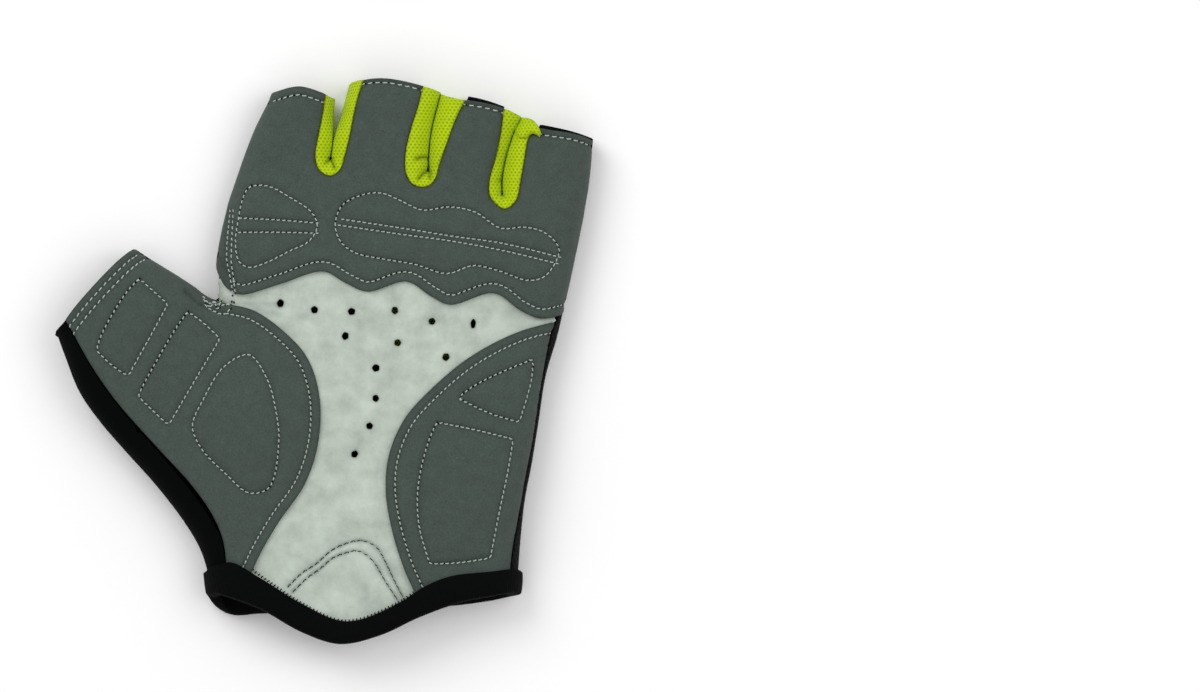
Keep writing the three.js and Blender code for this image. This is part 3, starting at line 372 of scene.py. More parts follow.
sides = [
    ("thumb", smoothLine(thumbOuterSide)),
    ("crotch", smoothLine(crotchSide)),
    ("valley", gussetLine(indexMiddleGusset, 2)),
    ("valley", gussetLine(middleRingGusset, 2)),
    ("valley", gussetLine(ringLittleGusset, 2)),
    ("little", smoothLine(littleSide)),
    ("heel", smoothLine(heelSide)),
]
sideStarts = np.vstack([line[:-1] for _, line in sides])
sideEnds = np.vstack([line[1:] for _, line in sides])
sideNormals = np.vstack([inwardNormals(line)[:-1] for _, line in sides])
nextNormals = np.vstack([inwardNormals(line)[1:] for _, line in sides])
sideNames = np.concatenate([[name] * (len(line) - 1) for name, line in sides])
outlineLoop = np.vstack([line for _, line in sides])


# How far each point lies from the closed sides, the way inwards there, and the side's name.
def sheetFrame(points):
    distance, which, share = nearestOn(points, sideStarts, sideEnds)
    span = sideEnds[which] - sideStarts[which]
    away = points - (sideStarts[which] + span * share[:, None])
    normal = unit(sideNormals[which] * (1 - share[:, None]) + nextNormals[which] * share[:, None])
    outside = (away * normal).sum(1) < 0
    distance = np.where(outside, 0, distance)
    near = distance < 0.08
    inward = np.where(near[:, None], normal, away / np.maximum(distance, 1e-9)[:, None])
    return distance, inward, sideNames[which]


def reliefAt(points):
    rise = np.zeros(len(points))
    for across, along, radius, share in reliefs:
        away = np.linalg.norm(points - place((across, along)), axis=1) / (radius * glove["palmWidth"])
        rise += share * glove["reliefHeight"] * np.exp(-away ** 2)
    return rise


def liftAt(points):
    fingerShare = (points[:, 1] - glove["palmLength"]) / glove["fingerReach"]
    thumbShare = (place((-0.56, 0.6))[0] - points[:, 0]) / (1.3 * glove["thumbReach"])
    return glove["tipLift"] * (smoothShare(fingerShare) + 1.2 * smoothShare(thumbShare))


def cuffRiseAt(points):
    return cuffRise * (1 - smoothShare(points[:, 1] / (2.4 * glove["bindingWidth"]) - 0.4))


# Points of the flat sheet carried to a level of one half of the glove. A level counts inwards.
def carried(points, half, level, joined=(), slide=0):
    distance, inward, near = sheetFrame(points)
    apart = np.where(np.isin(near, joined), 0, glove["seamGap"] / 2)
    turn = np.arccos(np.clip(1 - distance / glove["rollWidth"], 0, 1))
    plan = points + inward * (level * np.cos(turn) + slide)[:, None]
    height = glove["backHeight"] + liftAt(points)
    if half == "palm":
        height = height + (glove["palmHeight"] - level + reliefAt(points)) * np.sin(turn)
        height += apart * (1 - np.sin(turn))
    else:
        height = height - (glove["backHeight"] - level - cuffRiseAt(points)) * np.sin(turn)
        height -= apart * (1 - np.sin(turn))
    return np.column_stack([plan, height])


# Where a point of the sheet lies on the cloth when it is rolled out flat.
def rolledOut(points, half):
    distance, inward, _ = sheetFrame(points)
    turn = np.arccos(np.clip(1 - distance / glove["rollWidth"], 0, 1))
    height = glove["palmHeight"] if half == "palm" else glove["backHeight"]
    extra = (glove["rollWidth"] + height) / 2 * (math.pi / 2 - turn)
    extra -= np.maximum(glove["rollWidth"] - distance, 0)
    return points - inward * extra[:, None]


def toFrame(points):
    centre = np.array([glove["centreAcross"], glove["centreAlong"], 0])
    return (points - centre) / 1000


def meshObject(name, vertices, faces, uv=None, marks=None):
    mesh = bpy.data.meshes.new(name)
    mesh.from_pydata(vertices.tolist(), [], faces)
    if uv is not None:
        layer = mesh.uv_layers.new(name="cloth")
        corners = np.empty(len(mesh.loops), int)
        mesh.loops.foreach_get("vertex_index", corners)
        layer.data.foreach_set("uv", uv[corners].ravel())
    for key, values in (marks or {}).items():
        mesh.attributes.new(key, "FLOAT", "POINT").data.foreach_set("value", values)
    mesh.polygons.foreach_set("use_smooth", [True] * len(mesh.polygons))
    mesh.set_sharp_from_angle(angle=math.radians(50))
    mesh.update()
    piece = bpy.data.objects.new(name, mesh)
    bpy.context.scene.collection.objects.link(piece)
    return piece


# Leaves out points that crowd the ones already kept, each family with its own clearance.
def uncrowded(families):
    kept = []
    cells = {}
    size = 0.5
    for points, clearance in families:
        reach = int(math.ceil(clearance / size))
        for x, y in points.tolist():
            cx, cy = int(x // size), int(y // size)
            crowded = any((px - x) ** 2 + (py - y) ** 2 < clearance ** 2
                          for i in range(cx - reach, cx + reach + 1)
                          for j in range(cy - reach, cy + reach + 1)
                          for px, py in cells.get((i, j), ()))
            if not crowded:
                kept.append((x, y))
                cells.setdefault((cx, cy), []).append((x, y))
    return kept


rollRows = [math.radians(a) for a in (11, 22, 33, 44, 55, 66, 78, 90)]


def closes(line):
    return np.allclose(line[0], line[-1])


# A staggered grid of points over a box.
def staggered(low, high, step):
    u, v = np.meshgrid(np.arange(low[0], high[0], step), np.arange(low[1], high[1], step * 0.87))
    u = u + (np.arange(len(u)) % 2)[:, None] * step / 2
    return np.column_stack([u.ravel(), v.ravel()])


# One piece of cloth with its thickness. halves says which half keeps which part of the sheet,
# edges are the cut lines, folds the sewn lines, and levelOf how deep the outer skin lies.
def clothPiece(name, halves, edges, folds, levelOf, base, thickness, grid=1.1, joined=(), slideOf=None):
    edges = [line if len(line) < 40 and closes(line) else resampled(line, 0.8) for line in edges]
    keeps = [keep for _, keep in halves]

    def kept(points):
        mask = np.zeros(len(points), bool)
        for keep in keeps:
            mask |= keep(points)
        return mask

    fixed = []
    links = []
    for line in edges + [resampled(side, 1.0) for _, side in sides]:
        first = len(fixed)
        fixed += [tuple(p) for p in line]
        links += [(first + i, first + i + 1) for i in range(len(line) - 1)]
    families = [(np.array(fixed), 0.0)]
    for _, side in sides:
        line = resampled(side, 1.0)
        for turn in rollRows:
            reach = glove["rollWidth"] * (1 - math.cos(turn))
            row = shifted(line, reach)
            row = row[np.abs(sheetFrame(row)[0] - reach) < 0.08]
            row = row[kept(row)] if len(row) else row
            families.append((row, min(0.45, reach * 0.6)))
    for line in edges:
        for reach in (0.16, 0.5, -0.16, -0.5):
            row = shifted(line, reach)
            families.append((row[kept(row)], abs(reach) * 0.7))
    for line in folds:
        for reach in (0, 0.45, -0.45, 1.0, -1.0):
            row = shifted(resampled(line, 0.8), reach)
            families.append((row[kept(row)], 0.3))
    field = staggered(outlineLoop.min(0), outlineLoop.max(0), grid)
    field = field[insideLoop(field, outlineLoop) & kept(field)]
    field = field[(sheetFrame(field)[0] > 0.5)]
    families.append((field, grid * 0.55))
    spare = uncrowded(families)
    points = [Vector(p) for p in fixed] + [Vector(p) for p in spare[len(fixed):]]
    verts, _, triangles, _, _, _ = delaunay_2d_cdt(points, links, [], 0, 1e-4)
    flat = np.array([tuple(v) for v in verts])
    triangles = np.array([tuple(t) for t in triangles])
    centres = flat[triangles].mean(1)
    # turn every triangle counterclockwise
    a, b, c = flat[triangles[:, 0]], flat[triangles[:, 1]], flat[triangles[:, 2]]
    area = (b[:, 0] - a[:, 0]) * (c[:, 1] - a[:, 1]) - (b[:, 1] - a[:, 1]) * (c[:, 0] - a[:, 0])
    triangles[area < 0] = triangles[area < 0][:, ::-1]
    triangles, centres = triangles[np.abs(area) > 1e-7], centres[np.abs(area) > 1e-7]
    inside = insideLoop(centres, outlineLoop)

    distance, _, near = sheetFrame(flat)
    seam = (distance < 0.02) & np.isin(near, joined)
    rim = distanceTo(flat, edges)
    fold = distanceTo(flat, folds)
    outer, inner, uv, faces, index = [], [], [], [], {}
    picked = []
    for half, keep in halves:
        chosen = triangles[inside & keep(centres)]
        used = np.unique(chosen)
        tuck = 0.25 * np.clip(1 - rim[used] / 0.5, 0, 1) ** 2
        slide = slideOf(flat[used], half) if slideOf else 0
        outerPlaces = carried(flat[used], half, levelOf(flat[used], half), joined, slide)
        innerPlaces = carried(flat[used], half, base + thickness - tuck, joined, slide)
        rolled = rolledOut(flat[used], half)
        number = {}
        for at, vertex in enumerate(used.tolist()):
            key = ("seam", vertex) if seam[vertex] else (half, vertex)
            if key not in index:
                index[key] = len(outer)
                outer.append(outerPlaces[at])
                inner.append(innerPlaces[at])
                uv.append(rolled[at] / 100)
                picked.append(vertex)
            number[vertex] = index[key]
        for tri in chosen.tolist():
            corners = [number[v] for v in tri]
            faces.append(corners if half == "palm" else corners[::-1])
    count = len(outer)
    rims = {}
    for face in faces:
        for i in range(3):
            edge = (face[i], face[(i + 1) % 3])
            if (edge[1], edge[0]) in rims:
                del rims[(edge[1], edge[0])]
            else:
                rims[edge] = True
    wall = [(b, a, a + count, b + count) for a, b in rims]
    lining = [[v + count for v in face[::-1]] for face in faces]
    vertices = toFrame(np.vstack([outer, inner]))
    # the rim and fold marks only steer painted shade in the cloth materials: along cut edges, and along sewn
    # rows and creases
    marks = {
        "rim": np.tile(np.clip(1 - rim[picked] / 1.6, 0, 1), 2),
        "fold": np.tile(np.exp(-(fold[picked] / 0.7) ** 2), 2),
    }
    piece = meshObject(name, vertices, faces + lining + wall, np.tile(np.array(uv), (2, 1)), marks)
    print(name, len(piece.data.polygons), "faces")
    return piece


# Cut lines and the loops of what they leave
cuffShift = np.array([0, hemInset])
fingerEdge = smoothLine(fingerPanelEdge)
thumbEdge = smoothLine(thumbPanelEdge)
thumbStrip = smoothLine(thumbStripEdge)
heelEdge = smoothLine(heelPanelEdge)
heelStrip = smoothLine(heelStripEdge)
backSeam = smoothLine(thumbBackSeam)
mouthLine = smoothLine(fingerHem, 0.7)
meshProud = [  # how far the mesh shows past the palm side. Columns: across, share
    (-0.5, 0.25), (0.08, 0.3), (0.12, 1.7), (0.2, 1.6), (0.28, 0.9), (0.33, 0.7), (0.37, 1.7), (0.43, 1.3),
    (0.5, 0.8), (0.6, 0.6),
]
proudAcross, proudShares = zip(*meshProud)
proud = glove["meshProud"] * np.interp([row[0] for row in fingerHem], proudAcross, proudShares)
meshMouthLine = smoothLine([np.add(place(row), (0, rise)) for row, rise in zip(fingerHem, proud)], 0.7,
                           placed=True)
thumbMouthLine = smoothLine(thumbHem, 0.7)
palmCuffLine = smoothLine(cuffPalmEdge) + cuffShift
backCuffLine = smoothLine(cuffBackEdge) + cuffShift
baseEdge = np.array([place(row) for row in baseOutline])
insertEdge = smoothLine(insertOutline, closed=True)
insertEdge = np.vstack([insertEdge, insertEdge[:1]])
gussetEdges = [gussetLine(rows, 0) for rows in (indexMiddleGusset, middleRingGusset, ringLittleGusset)]
gussetRooms = [shifted(line, 0.4 * glove["seamGap"]) for line in gussetEdges]
padLoops = {}
for padName, padRows in padOutlines.items():
    if padName in ("thumbTip", "thumbRoot", "heelUpper", "heelLower"):
        padLoops[padName] = corneredLoop(padRows, 0.8)
    else:
        padLine = smoothLine(padRows, closed=True)
        padLoops[padName] = np.vstack([padLine, padLine[:1]])


def within(line, *corners):
    loop = np.vstack([line] + [farOff(*corner) for corner in corners])
    return lambda points: insideLoop(points, loop)


def outOf(line, *corners):
    inside = within(line, *corners)
    return lambda points: ~inside(points)


def both(*tests):
    return lambda points: np.logical_and.reduce([test(points) for test in tests])


def nearSide(name):
    def isNear(points):
        distance, _, near = sheetFrame(points)
        return (near == name) & (distance < glove["rollWidth"] * 0.98)
    return isNear


belowMouths = outOf(mouthLine, (1.5, 3), (-0.8, 3))
belowMeshMouths = outOf(meshMouthLine, (1.5, 3), (-0.8, 3))
insideThumbMouth = outOf(thumbMouthLine, (-1.5, 0.6), (-1.5, 1.3), (-0.8, 1.3))
aboveCuff = outOf(palmCuffLine, (1, -1), (-1.2, -1))
aboveBackCuff = outOf(backCuffLine, (1, -1), (-1.2, -1))
clearOfGussets = both(*[outOf(line) for line in gussetRooms])
thumbSide = within(backSeam, (-1.5, -0.4), (-1.5, 1.3), (-0.85, 1.3))
fingerSide = outOf(shifted(backSeam, -glove["seamGap"]), (-1.5, -0.4), (-1.5, 1.3), (-0.85, 1.3))

seams = {  # how deep a row of stitches pulls the cloth down, and how wide
    "dip": 0.5, "dipWidth": 0.6, "puff": 0.28, "puffWidth": 3.2, "edgeRound": 0.55, "wave": 0.1,
}


def unevenness(points):
    x, y = points[:, 0], points[:, 1]
    wave = np.sin(x / 4.1 + 1.3 * np.sin(y / 7.3)) + np.sin(y / 3.3 + 1.1 * np.sin(x / 5.9) + 2)
    return wave + 0.8 * np.sin((x + y) / 2.3 + 1.7 * np.sin(y / 4.7))


def edgeDrop(distance, radius):
    inner = np.clip(radius - distance, 0, radius)
    return radius - np.sqrt(np.maximum(radius ** 2 - inner ** 2, 0))


# How far the padded zones stand up: the simulated cloth where there is one, otherwise a plain crown.
def padRiseAt(points, names):
    rise = np.zeros(len(points))
    clear = smoothShare((sheetFrame(points)[0] - 0.5 * glove["rollWidth"]) / 3)
    for name in names:
        inside = insideLoop(points, padLoops[name])
        if not inside.any():
            continue
        depth = distanceTo(points[inside], [padLoops[name]])
        crown = glove["padHeight"] * (1 - np.exp(-depth / (0.9 * glove["padShoulder"])))
        if name in swollen:
            spots, heights = swollen[name]
            apart = ((points[inside][:, None] - spots[None]) ** 2).sum(2)
            weights = np.exp(-apart / (2 * padCloth["blur"] ** 2)) + 1e-12
            crown = (weights * heights).sum(1) / weights.sum(1)
            crown *= 1 - np.exp(-depth / padCloth["shoulder"])
        rise[inside] = crown * clear[inside]
    return rise


# The depth of a grey panel's outer skin: padded zones stand up, rows of stitches sink in.
def panelDepth(edges, folds, pads=(), base=0.0, creases=(), puff=seams["puff"]):
    def levelOf(points, half):
        stitch = distanceTo(points, folds)
        level = base + edgeDrop(distanceTo(points, edges), seams["edgeRound"])
        level += seams["dip"] * np.exp(-(stitch / seams["dipWidth"]) ** 2)
        level -= puff * (1 - np.exp(-stitch / seams["puffWidth"]))
        level -= padRiseAt(points, pads)
        level += (seams["wave"] * 0.4 if puff else 0) * unevenness(points)
        for start, end, width, depth in creases:
            away = nearestOn(points, np.array([place(start)]), np.array([place(end)]))[0]
            level += depth * np.exp(-(away / width) ** 2)
        return level
    return levelOf


# Rows of stitches, as lines of the flat sheet
stitchInset = {"panel": 2.9, "thumbOuter": 2.3, "thumbInner": 4.6, "heelSide": 2.4}
mouthInsets = [(-0.45, 2.6), (-0.22, 2.6), (-0.13, 1.3), (0.3, 1.4), (0.36, 1.8), (0.6, 1.8)]
insetAcross, insets = zip(*mouthInsets)
mouthInset = np.interp(mouthLine[:, 0] / glove["palmWidth"], insetAcross, insets)
mouthStitch = mouthLine + inwardNormals(mouthLine) * mouthInset[:, None]
fingerStitch = shifted(fingerEdge, -stitchInset["panel"])
thumbStitch = shifted(thumbEdge, stitchInset["panel"])
heelStitch = shifted(heelEdge, -stitchInset["panel"])
thumbMouthOuter = shifted(thumbMouthLine, -stitchInset["thumbOuter"])
thumbMouthInner = shifted(thumbMouthLine, -stitchInset["thumbInner"])

# Sewn lines that cross a pad or stand alone. Columns: across, along
quiltRows = {
    "indexUpper": [(-0.447, 0.912), (-0.337, 0.907), (-0.231, 0.9)],
    "indexLower": [(-0.449, 0.878), (-0.337, 0.878), (-0.231, 0.876)],
    "knucklesUpper": [(-0.16, 0.909), (0.005, 0.888), (0.145, 0.869), (0.286, 0.852), (0.448, 0.819)],
    "knucklesLower": [(-0.169, 0.895), (0.005, 0.873), (0.145, 0.857), (0.286, 0.835), (0.44, 0.804)],
}
sideRows = {
    "sideOuter": [(-0.478, 0.93), (-0.483, 0.883), (-0.486, 0.847), (-0.486, 0.811), (-0.48, 0.788),
                  (-0.475, 0.764), (-0.469, 0.735), (-0.469, 0.718)],
    "sideInner": [(-0.468, 0.93), (-0.471, 0.871), (-0.472, 0.807), (-0.468, 0.783), (-0.462, 0.74)],
}
wristRows = {
    "wristOuter": [(-0.312, 0.036), (-0.275, 0.067), (-0.233, 0.091), (-0.191, 0.122), (-0.149, 0.139),
                   (-0.113, 0.146), (-0.085, 0.141), (-0.062, 0.127), (-0.045, 0.103), (-0.031, 0.079),
                   (-0.017, 0.053), (0.011, 0.007)],
    "wristInner": [(-0.298, 0.024), (-0.261, 0.055), (-0.219, 0.081), (-0.186, 0.105), (-0.149, 0.117),
                   (-0.121, 0.122), (-0.093, 0.112), (-0.071, 0.093), (-0.054, 0.069), (-0.04, 0.048),
                   (-0.023, 0.026), (-0.003, 0)],
}
tackRows = [
    [(-0.55, 0.722), (-0.537, 0.707), (-0.526, 0.71), (-0.514, 0.708), (-0.498, 0.704), (-0.48, 0.706)],
    [(-0.548, 0.715), (-0.538, 0.699), (-0.526, 0.695), (-0.514, 0.687), (-0.494, 0.682), (-0.478, 0.692)],
    [(-0.542, 0.713), (-0.53, 0.699), (-0.52, 0.712), (-0.511, 0.696), (-0.502, 0.708)],
]
crossRows = [
    [(-0.478, 0.748), (-0.473, 0.728), (-0.465, 0.714), (-0.469, 0.704)],
    [(-0.464, 0.744), (-0.468, 0.724), (-0.477, 0.711)],
]
quilt = {name: smoothLine(rows) for name, rows in quiltRows.items()}
sideStitches = [smoothLine(rows) for rows in sideRows.values()]
wristStitches = [smoothLine(rows) for rows in wristRows.values()]
tackStitches = [straightLine(rows) for rows in tackRows]
crossStitches = [straightLine(rows, 0.5) for rows in crossRows]


def trimmed(line, *tests):
    fine = resampled(line, 0.35)
    mask = both(*tests)(fine)
    runs = np.split(np.arange(len(fine)), np.where(np.diff(mask.astype(int)) != 0)[0] + 1)
    return [fine[run] for run in runs if mask[run[0]] and len(run) > 8]


def insideBy(distance):
    return lambda points: insideLoop(points, outlineLoop) & (sheetFrame(points)[0] > distance)


padCloth = {  # the simulation runs on a copy that is enlarged, in metres for one millimetre
    "enlarged": 0.02, "grid": 1.5, "frames": 20, "pressure": 4.0, "mass": 0.3, "stiffness": 12.0,
    "bending": 0.6, "quality": 6, "cap": 1.8, "blur": 0.8, "shoulder": 0.5,
}
swollen = {}


# The padded zones swell as cloth that is held along its rows of stitches.
def swellPads():
    flat, faces, held, owner = [], [], [], []
    for padName, loop in padLoops.items():
        seamsHere = [loop]
        for row in quilt.values():
            seamsHere += trimmed(row, lambda points: insideLoop(points, loop))
        fixed, links = [], []
        for seam in seamsHere:
            seam = resampled(seam, padCloth["grid"] * 0.8)
            links += [(len(fixed) + i, len(fixed) + i + 1) for i in range(len(seam) - 1)]
            fixed += [tuple(p) for p in seam]
        field = staggered(loop.min(0), loop.max(0), padCloth["grid"])
        field = field[insideLoop(field, loop)]
        field = field[distanceTo(field, seamsHere) > padCloth["grid"] * 0.5]
        points = [Vector(p) for p in fixed + [tuple(p) for p in field]]
        verts, _, triangles, _, _, _ = delaunay_2d_cdt(points, links, [], 0, 1e-4)
        verts = np.array([tuple(v) for v in verts])
        first = len(flat)
        for tri in triangles:
            a, b, c = verts[list(tri)]
            area = (b[0] - a[0]) * (c[1] - a[1]) - (b[1] - a[1]) * (c[0] - a[0])
            if abs(area) > 1e-4 and insideLoop(((a + b + c) / 3)[None], loop)[0]:
                order = tri if area > 0 else tri[::-1]
                faces.append([first + i for i in order])
        seamAway = distanceTo(verts, seamsHere)
        held += [first + i for i in np.where(seamAway < 0.05)[0].tolist()]
        flat += verts.tolist()
        owner += [padName] * len(verts)
    enlarged = padCloth["enlarged"]
    mesh = bpy.data.meshes.new("pad_cloth")
    mesh.from_pydata([(x * enlarged, y * enlarged, 0) for x, y in flat], [], faces)
    cloth = bpy.data.objects.new("pad_cloth", mesh)
    bpy.context.scene.collection.objects.link(cloth)
    cloth.vertex_groups.new(name="held").add(held, 1.0, "REPLACE")
    modifier = cloth.modifiers.new("Cloth", "CLOTH")
    settings = modifier.settings
    settings.quality = padCloth["quality"]
    settings.mass = padCloth["mass"]
    settings.tension_stiffness = padCloth["stiffness"]
    settings.compression_stiffness = padCloth["stiffness"]
    settings.shear_stiffness = padCloth["stiffness"] / 3
    settings.bending_stiffness = padCloth["bending"]
    settings.use_pressure = True
    settings.uniform_pressure_force = padCloth["pressure"]
    settings.vertex_group_mass = "held"
    settings.effector_weights.gravity = 0
    modifier.collision_settings.use_collision = False
    modifier.point_cache.frame_start = 1
    modifier.point_cache.frame_end = padCloth["frames"]
    for step in range(1, padCloth["frames"] + 1):
        bpy.context.scene.frame_set(step)
    swelled = cloth.evaluated_get(bpy.context.evaluated_depsgraph_get()).data
    heights = np.array([abs(vertex.co.z) for vertex in swelled.vertices]) / enlarged
    print("pads swell to", round(float(heights.max()), 2), "mm, of", len(flat), "points")
    heights = padCloth["cap"] * np.tanh(heights / padCloth["cap"])
    bpy.context.scene.frame_set(1)
    bpy.data.objects.remove(cloth)
    owner = np.array(owner)
    for padName in padLoops:
        swollen[padName] = (np.array(flat)[owner == padName], heights[owner == padName])


swellPads()
print("pads swollen")

onFinger = both(within(fingerEdge, (1.5, 0.75), (1.5, 3), (-0.55, 3)), belowMouths, clearOfGussets)
onThumb = both(within(thumbEdge, (-1.5, -0.5), (-1.5, 1.3), (-0.85, 1.3)), insideThumbMouth, aboveCuff,
               outOf(shifted(thumbStrip, -glove["seamGap"]), (-1.5, -0.3), (-1.5, 0.9)))
onBackPalm = both(nearSide("heel"), within(heelStrip, (1.5, -0.3), (1.5, 0.9)), aboveCuff)
onHeel = both(within(heelEdge, (1.5, -0.5), (1.5, 0.7)), aboveCuff,
              outOf(shifted(heelStrip, glove["seamGap"]), (1.5, -0.3), (1.5, 0.9)))

fingerEdges = [fingerEdge, mouthLine] + gussetRooms
fingerFolds = [fingerStitch, mouthStitch, padLoops["index"], padLoops["knuckles"]]
fingerFolds += list(quilt.values()) + sideStitches
thumbEdges = [thumbEdge, shifted(thumbStrip, -glove["seamGap"]), thumbMouthLine, palmCuffLine]
thumbFolds = [thumbStitch, thumbMouthOuter, thumbMouthInner]
thumbFolds += [padLoops[name] for name in ("thumbTip", "thumbRoot", "thenar")]
heelEdges = [heelEdge, shifted(heelStrip, glove["seamGap"]), palmCuffLine]
heelFolds = [heelStitch, padLoops["heelUpper"], padLoops["heelLower"]]

fingerDepth = panelDepth(fingerEdges, fingerFolds, ("index", "knuckles"))
thumbDepth = panelDepth(thumbEdges, thumbFolds, ("thumbTip", "thumbRoot", "thenar"))
heelDepth = panelDepth(heelEdges, heelFolds, ("heelUpper", "heelLower"))
thickness = glove["clothThickness"]

fingerPanel = clothPiece("finger_panel_suede", [("palm", onFinger)], fingerEdges, fingerFolds,
                         fingerDepth, 0, thickness)
thumbPanel = clothPiece("thumb_panel_suede", [("palm", onThumb)], thumbEdges, thumbFolds,
                        thumbDepth, 0, thickness)
heelPanel = clothPiece("heel_panel_suede", [("palm", onHeel)], heelEdges, heelFolds,
                       heelDepth, 0, thickness)

holes = {"sides": 22, "ragged": 0.1}
holeLoops = []
for across, along, stretch, tilt, wide in perforations:
    turn = np.linspace(0, 2 * math.pi, holes["sides"] + 1)
    ragged = 1 + holes["ragged"] * np.sin(3 * turn + 40 * across) * np.cos(2 * turn + 25 * along)
    ring = np.column_stack([np.cos(turn), np.sin(turn) * stretch]) * ragged[:, None]
    lean = math.radians(tilt)
    ring = ring @ np.array([[math.cos(lean), math.sin(lean)], [-math.sin(lean), math.cos(lean)]])
    ring *= wide * glove["perforationWidth"] / 2
    holeLoops.append(ring[::-1] + place((across, along)))
    holeLoops[-1][-1] = holeLoops[-1][0]
leatherCreases = [  # start, end, width and depth in millimetres
    ((-0.46, 0.722), (-0.35, 0.728), 0.9, 0.4), ((-0.45, 0.71), (-0.31, 0.7), 0.8, 0.45),
    ((-0.43, 0.7), (-0.33, 0.675), 0.8, 0.35), ((-0.46, 0.716), (-0.36, 0.714), 1.0, -0.35),
    ((-0.3, 0.7), (-0.16, 0.715), 1.4, 0.25), ((-0.02, 0.58), (0.11, 0.6), 1.6, 0.35),
    ((0.2, 0.69), (0.44, 0.675), 1.4, 0.4), ((0.3, 0.665), (0.46, 0.678), 0.9, 0.3),
    ((-0.2, 0.56), (-0.1, 0.3), 3.0, 0.25), ((-0.06, 0.55), (0.03, 0.52), 2.0, 0.25),
    ((-0.26, 0.3), (-0.12, 0.22), 2.4, -0.25), ((-0.36, 0.16), (-0.2, 0.19), 2.2, 0.2),
    ((0.0, 0.62), (0.14, 0.63), 2.4, -0.25), ((-0.32, 0.74), (-0.2, 0.755), 1.5, 0.25),
]
baseLine = np.vstack([baseEdge, baseEdge[:1]])
onBase = both(within(baseEdge), aboveCuff, *[outOf(loop) for loop in holeLoops])
baseEdges = [baseLine, palmCuffLine] + holeLoops
leatherRise = {"reach": 6.5, "clearance": 0.2, "ease": 0.8, "level": -0.1, "wave": 0.1}
plainLeather = panelDepth(baseEdges, wristStitches, base=baseLevel, creases=leatherCreases)


# The leather lies under the panels, and comes up to the outline between them.
def baseDepth(points, half):
    clear = distanceTo(points, [fingerEdge, thumbEdge, heelEdge])
    bare = ~(onFinger(points) | onThumb(points) | onHeel(points) | onBackPalm(points))
    bare &= ~(nearSide("heel")(points) & (points[:, 1] < place((0.45, 0.662))[1]))
    rise = smoothShare((clear - leatherRise["clearance"]) / leatherRise["ease"])
    rise *= smoothShare(1 - sheetFrame(points)[0] / leatherRise["reach"]) * bare
    level = plainLeather(points, half) + leatherRise["wave"] * unevenness(points / 2.6)
    return level - rise * (baseLevel - leatherRise["level"])


palmBase = clothPiece("palm_base_leather", [("palm", onBase)], baseEdges, wristStitches,
                      baseDepth, baseLevel, thickness)

gussetShape = {"bulge": 1.05, "lip": 1.1, "lipShare": 0.28, "clearance": 0.05, "mouthRound": 1.0,
               "curlRadius": 2.2, "curlRise": 0.7, "foldDepth": 1.0, "foldWidth": 0.4}
slitHeights = {  # the slit is closed up to the first height and open from the second, along
    "index_middle": (1.085, 1.17), "middle_ring": (1.4, 1.5), "ring_little": (1.4, 1.5),
}
gussetCreases = {  # small sewn-in folds. Columns: across, along
    "index_middle": [[(-0.19, 1.056), (-0.186, 1.045), (-0.182, 1.03)], [(-0.2, 1.05), (-0.209, 1.042)]],
    "middle_ring": [[(0.04, 1.052), (0.052, 1.057), (0.065, 1.054), (0.075, 1.045), (0.077, 1.032),
                     (0.07, 1.02), (0.058, 1.012), (0.05, 1.003)], [(0.087, 1.02), (0.084, 1.006)],
                    [(0.079, 1.043), (0.083, 1.034)]],
    "ring_little": [[(0.272, 1.003), (0.28, 1.0), (0.289, 1.006)],
                    [(0.287, 0.988), (0.289, 0.975), (0.291, 0.96)]],
}


# The level and the sideways slide of a gusset: two soft bands that meet in the slit.
def gussetForm(name, line, valley, creases):
    lowest = valley[:, 1].argmin()
    left, right = valley[:lowest + 1][::-1], valley[lowest:]
    closedTo, openFrom = [share * glove["palmLength"] for share in slitHeights[name]]

    def levelOf(points, half):
        fromEdge = distanceTo(points, [line])
        fromSeam = sheetFrame(points)[0]
        share = fromEdge / np.maximum(fromEdge + fromSeam, 0.3)
        bulge = np.sqrt(np.clip(1 - np.abs(2 * share - 1) ** 2.6, 0, 1))
        level = -gussetShape["bulge"] * bulge * (1 if half == "palm" else 0.4)
        if half == "palm":
            fold = np.exp(-(distanceTo(points, creases) / gussetShape["foldWidth"]) ** 2)
            level += gussetShape["foldDepth"] * fold
            mouthDrop = edgeDrop(distanceTo(points, [mouthLine]), gussetShape["mouthRound"])
            level += mouthDrop * smoothShare(fromSeam)
            level += 0.08 * np.sin(points[:, 1] * 2.4) * share * (1 - share) * 4
            if name == "middle_ring":
                away = np.linalg.norm(points - place((0.055, 1.035)), axis=1) / gussetShape["curlRadius"]
                level -= gussetShape["curlRise"] * np.clip(1 - away ** 2, 0, 1)
        return level

    def slideOf(points, half):
        fromEdge = distanceTo(points, [line])
        fromSeam = sheetFrame(points)[0]
        whole = fromEdge + fromSeam
        gap = np.interp(points[:, 1], right[:, 1], right[:, 0])
        gap = gap - np.interp(points[:, 1], left[:, 1], left[:, 0])
        closed = 1 - smoothShare((points[:, 1] - closedTo) / (openFrom - closedTo))
        gap = np.where(points[:, 1] < valley[lowest, 1], 0, np.maximum(gap, 0)) / 2
        lip = np.minimum(gussetShape["lip"], gussetShape["lipShare"] * whole)
        near = gap - gussetShape["clearance"] + 0.93 * np.minimum(fromSeam, lip)
        fade = np.clip((fromSeam - lip) / np.maximum(whole - lip - 0.15, 0.2), 0, 1)
        turn = np.arccos(np.clip(1 - fromSeam / glove["rollWidth"], 0, 1))
        return -np.maximum(near, 0) * (1 - fade) * closed - levelOf(points, half) * np.cos(turn)

    return levelOf, slideOf


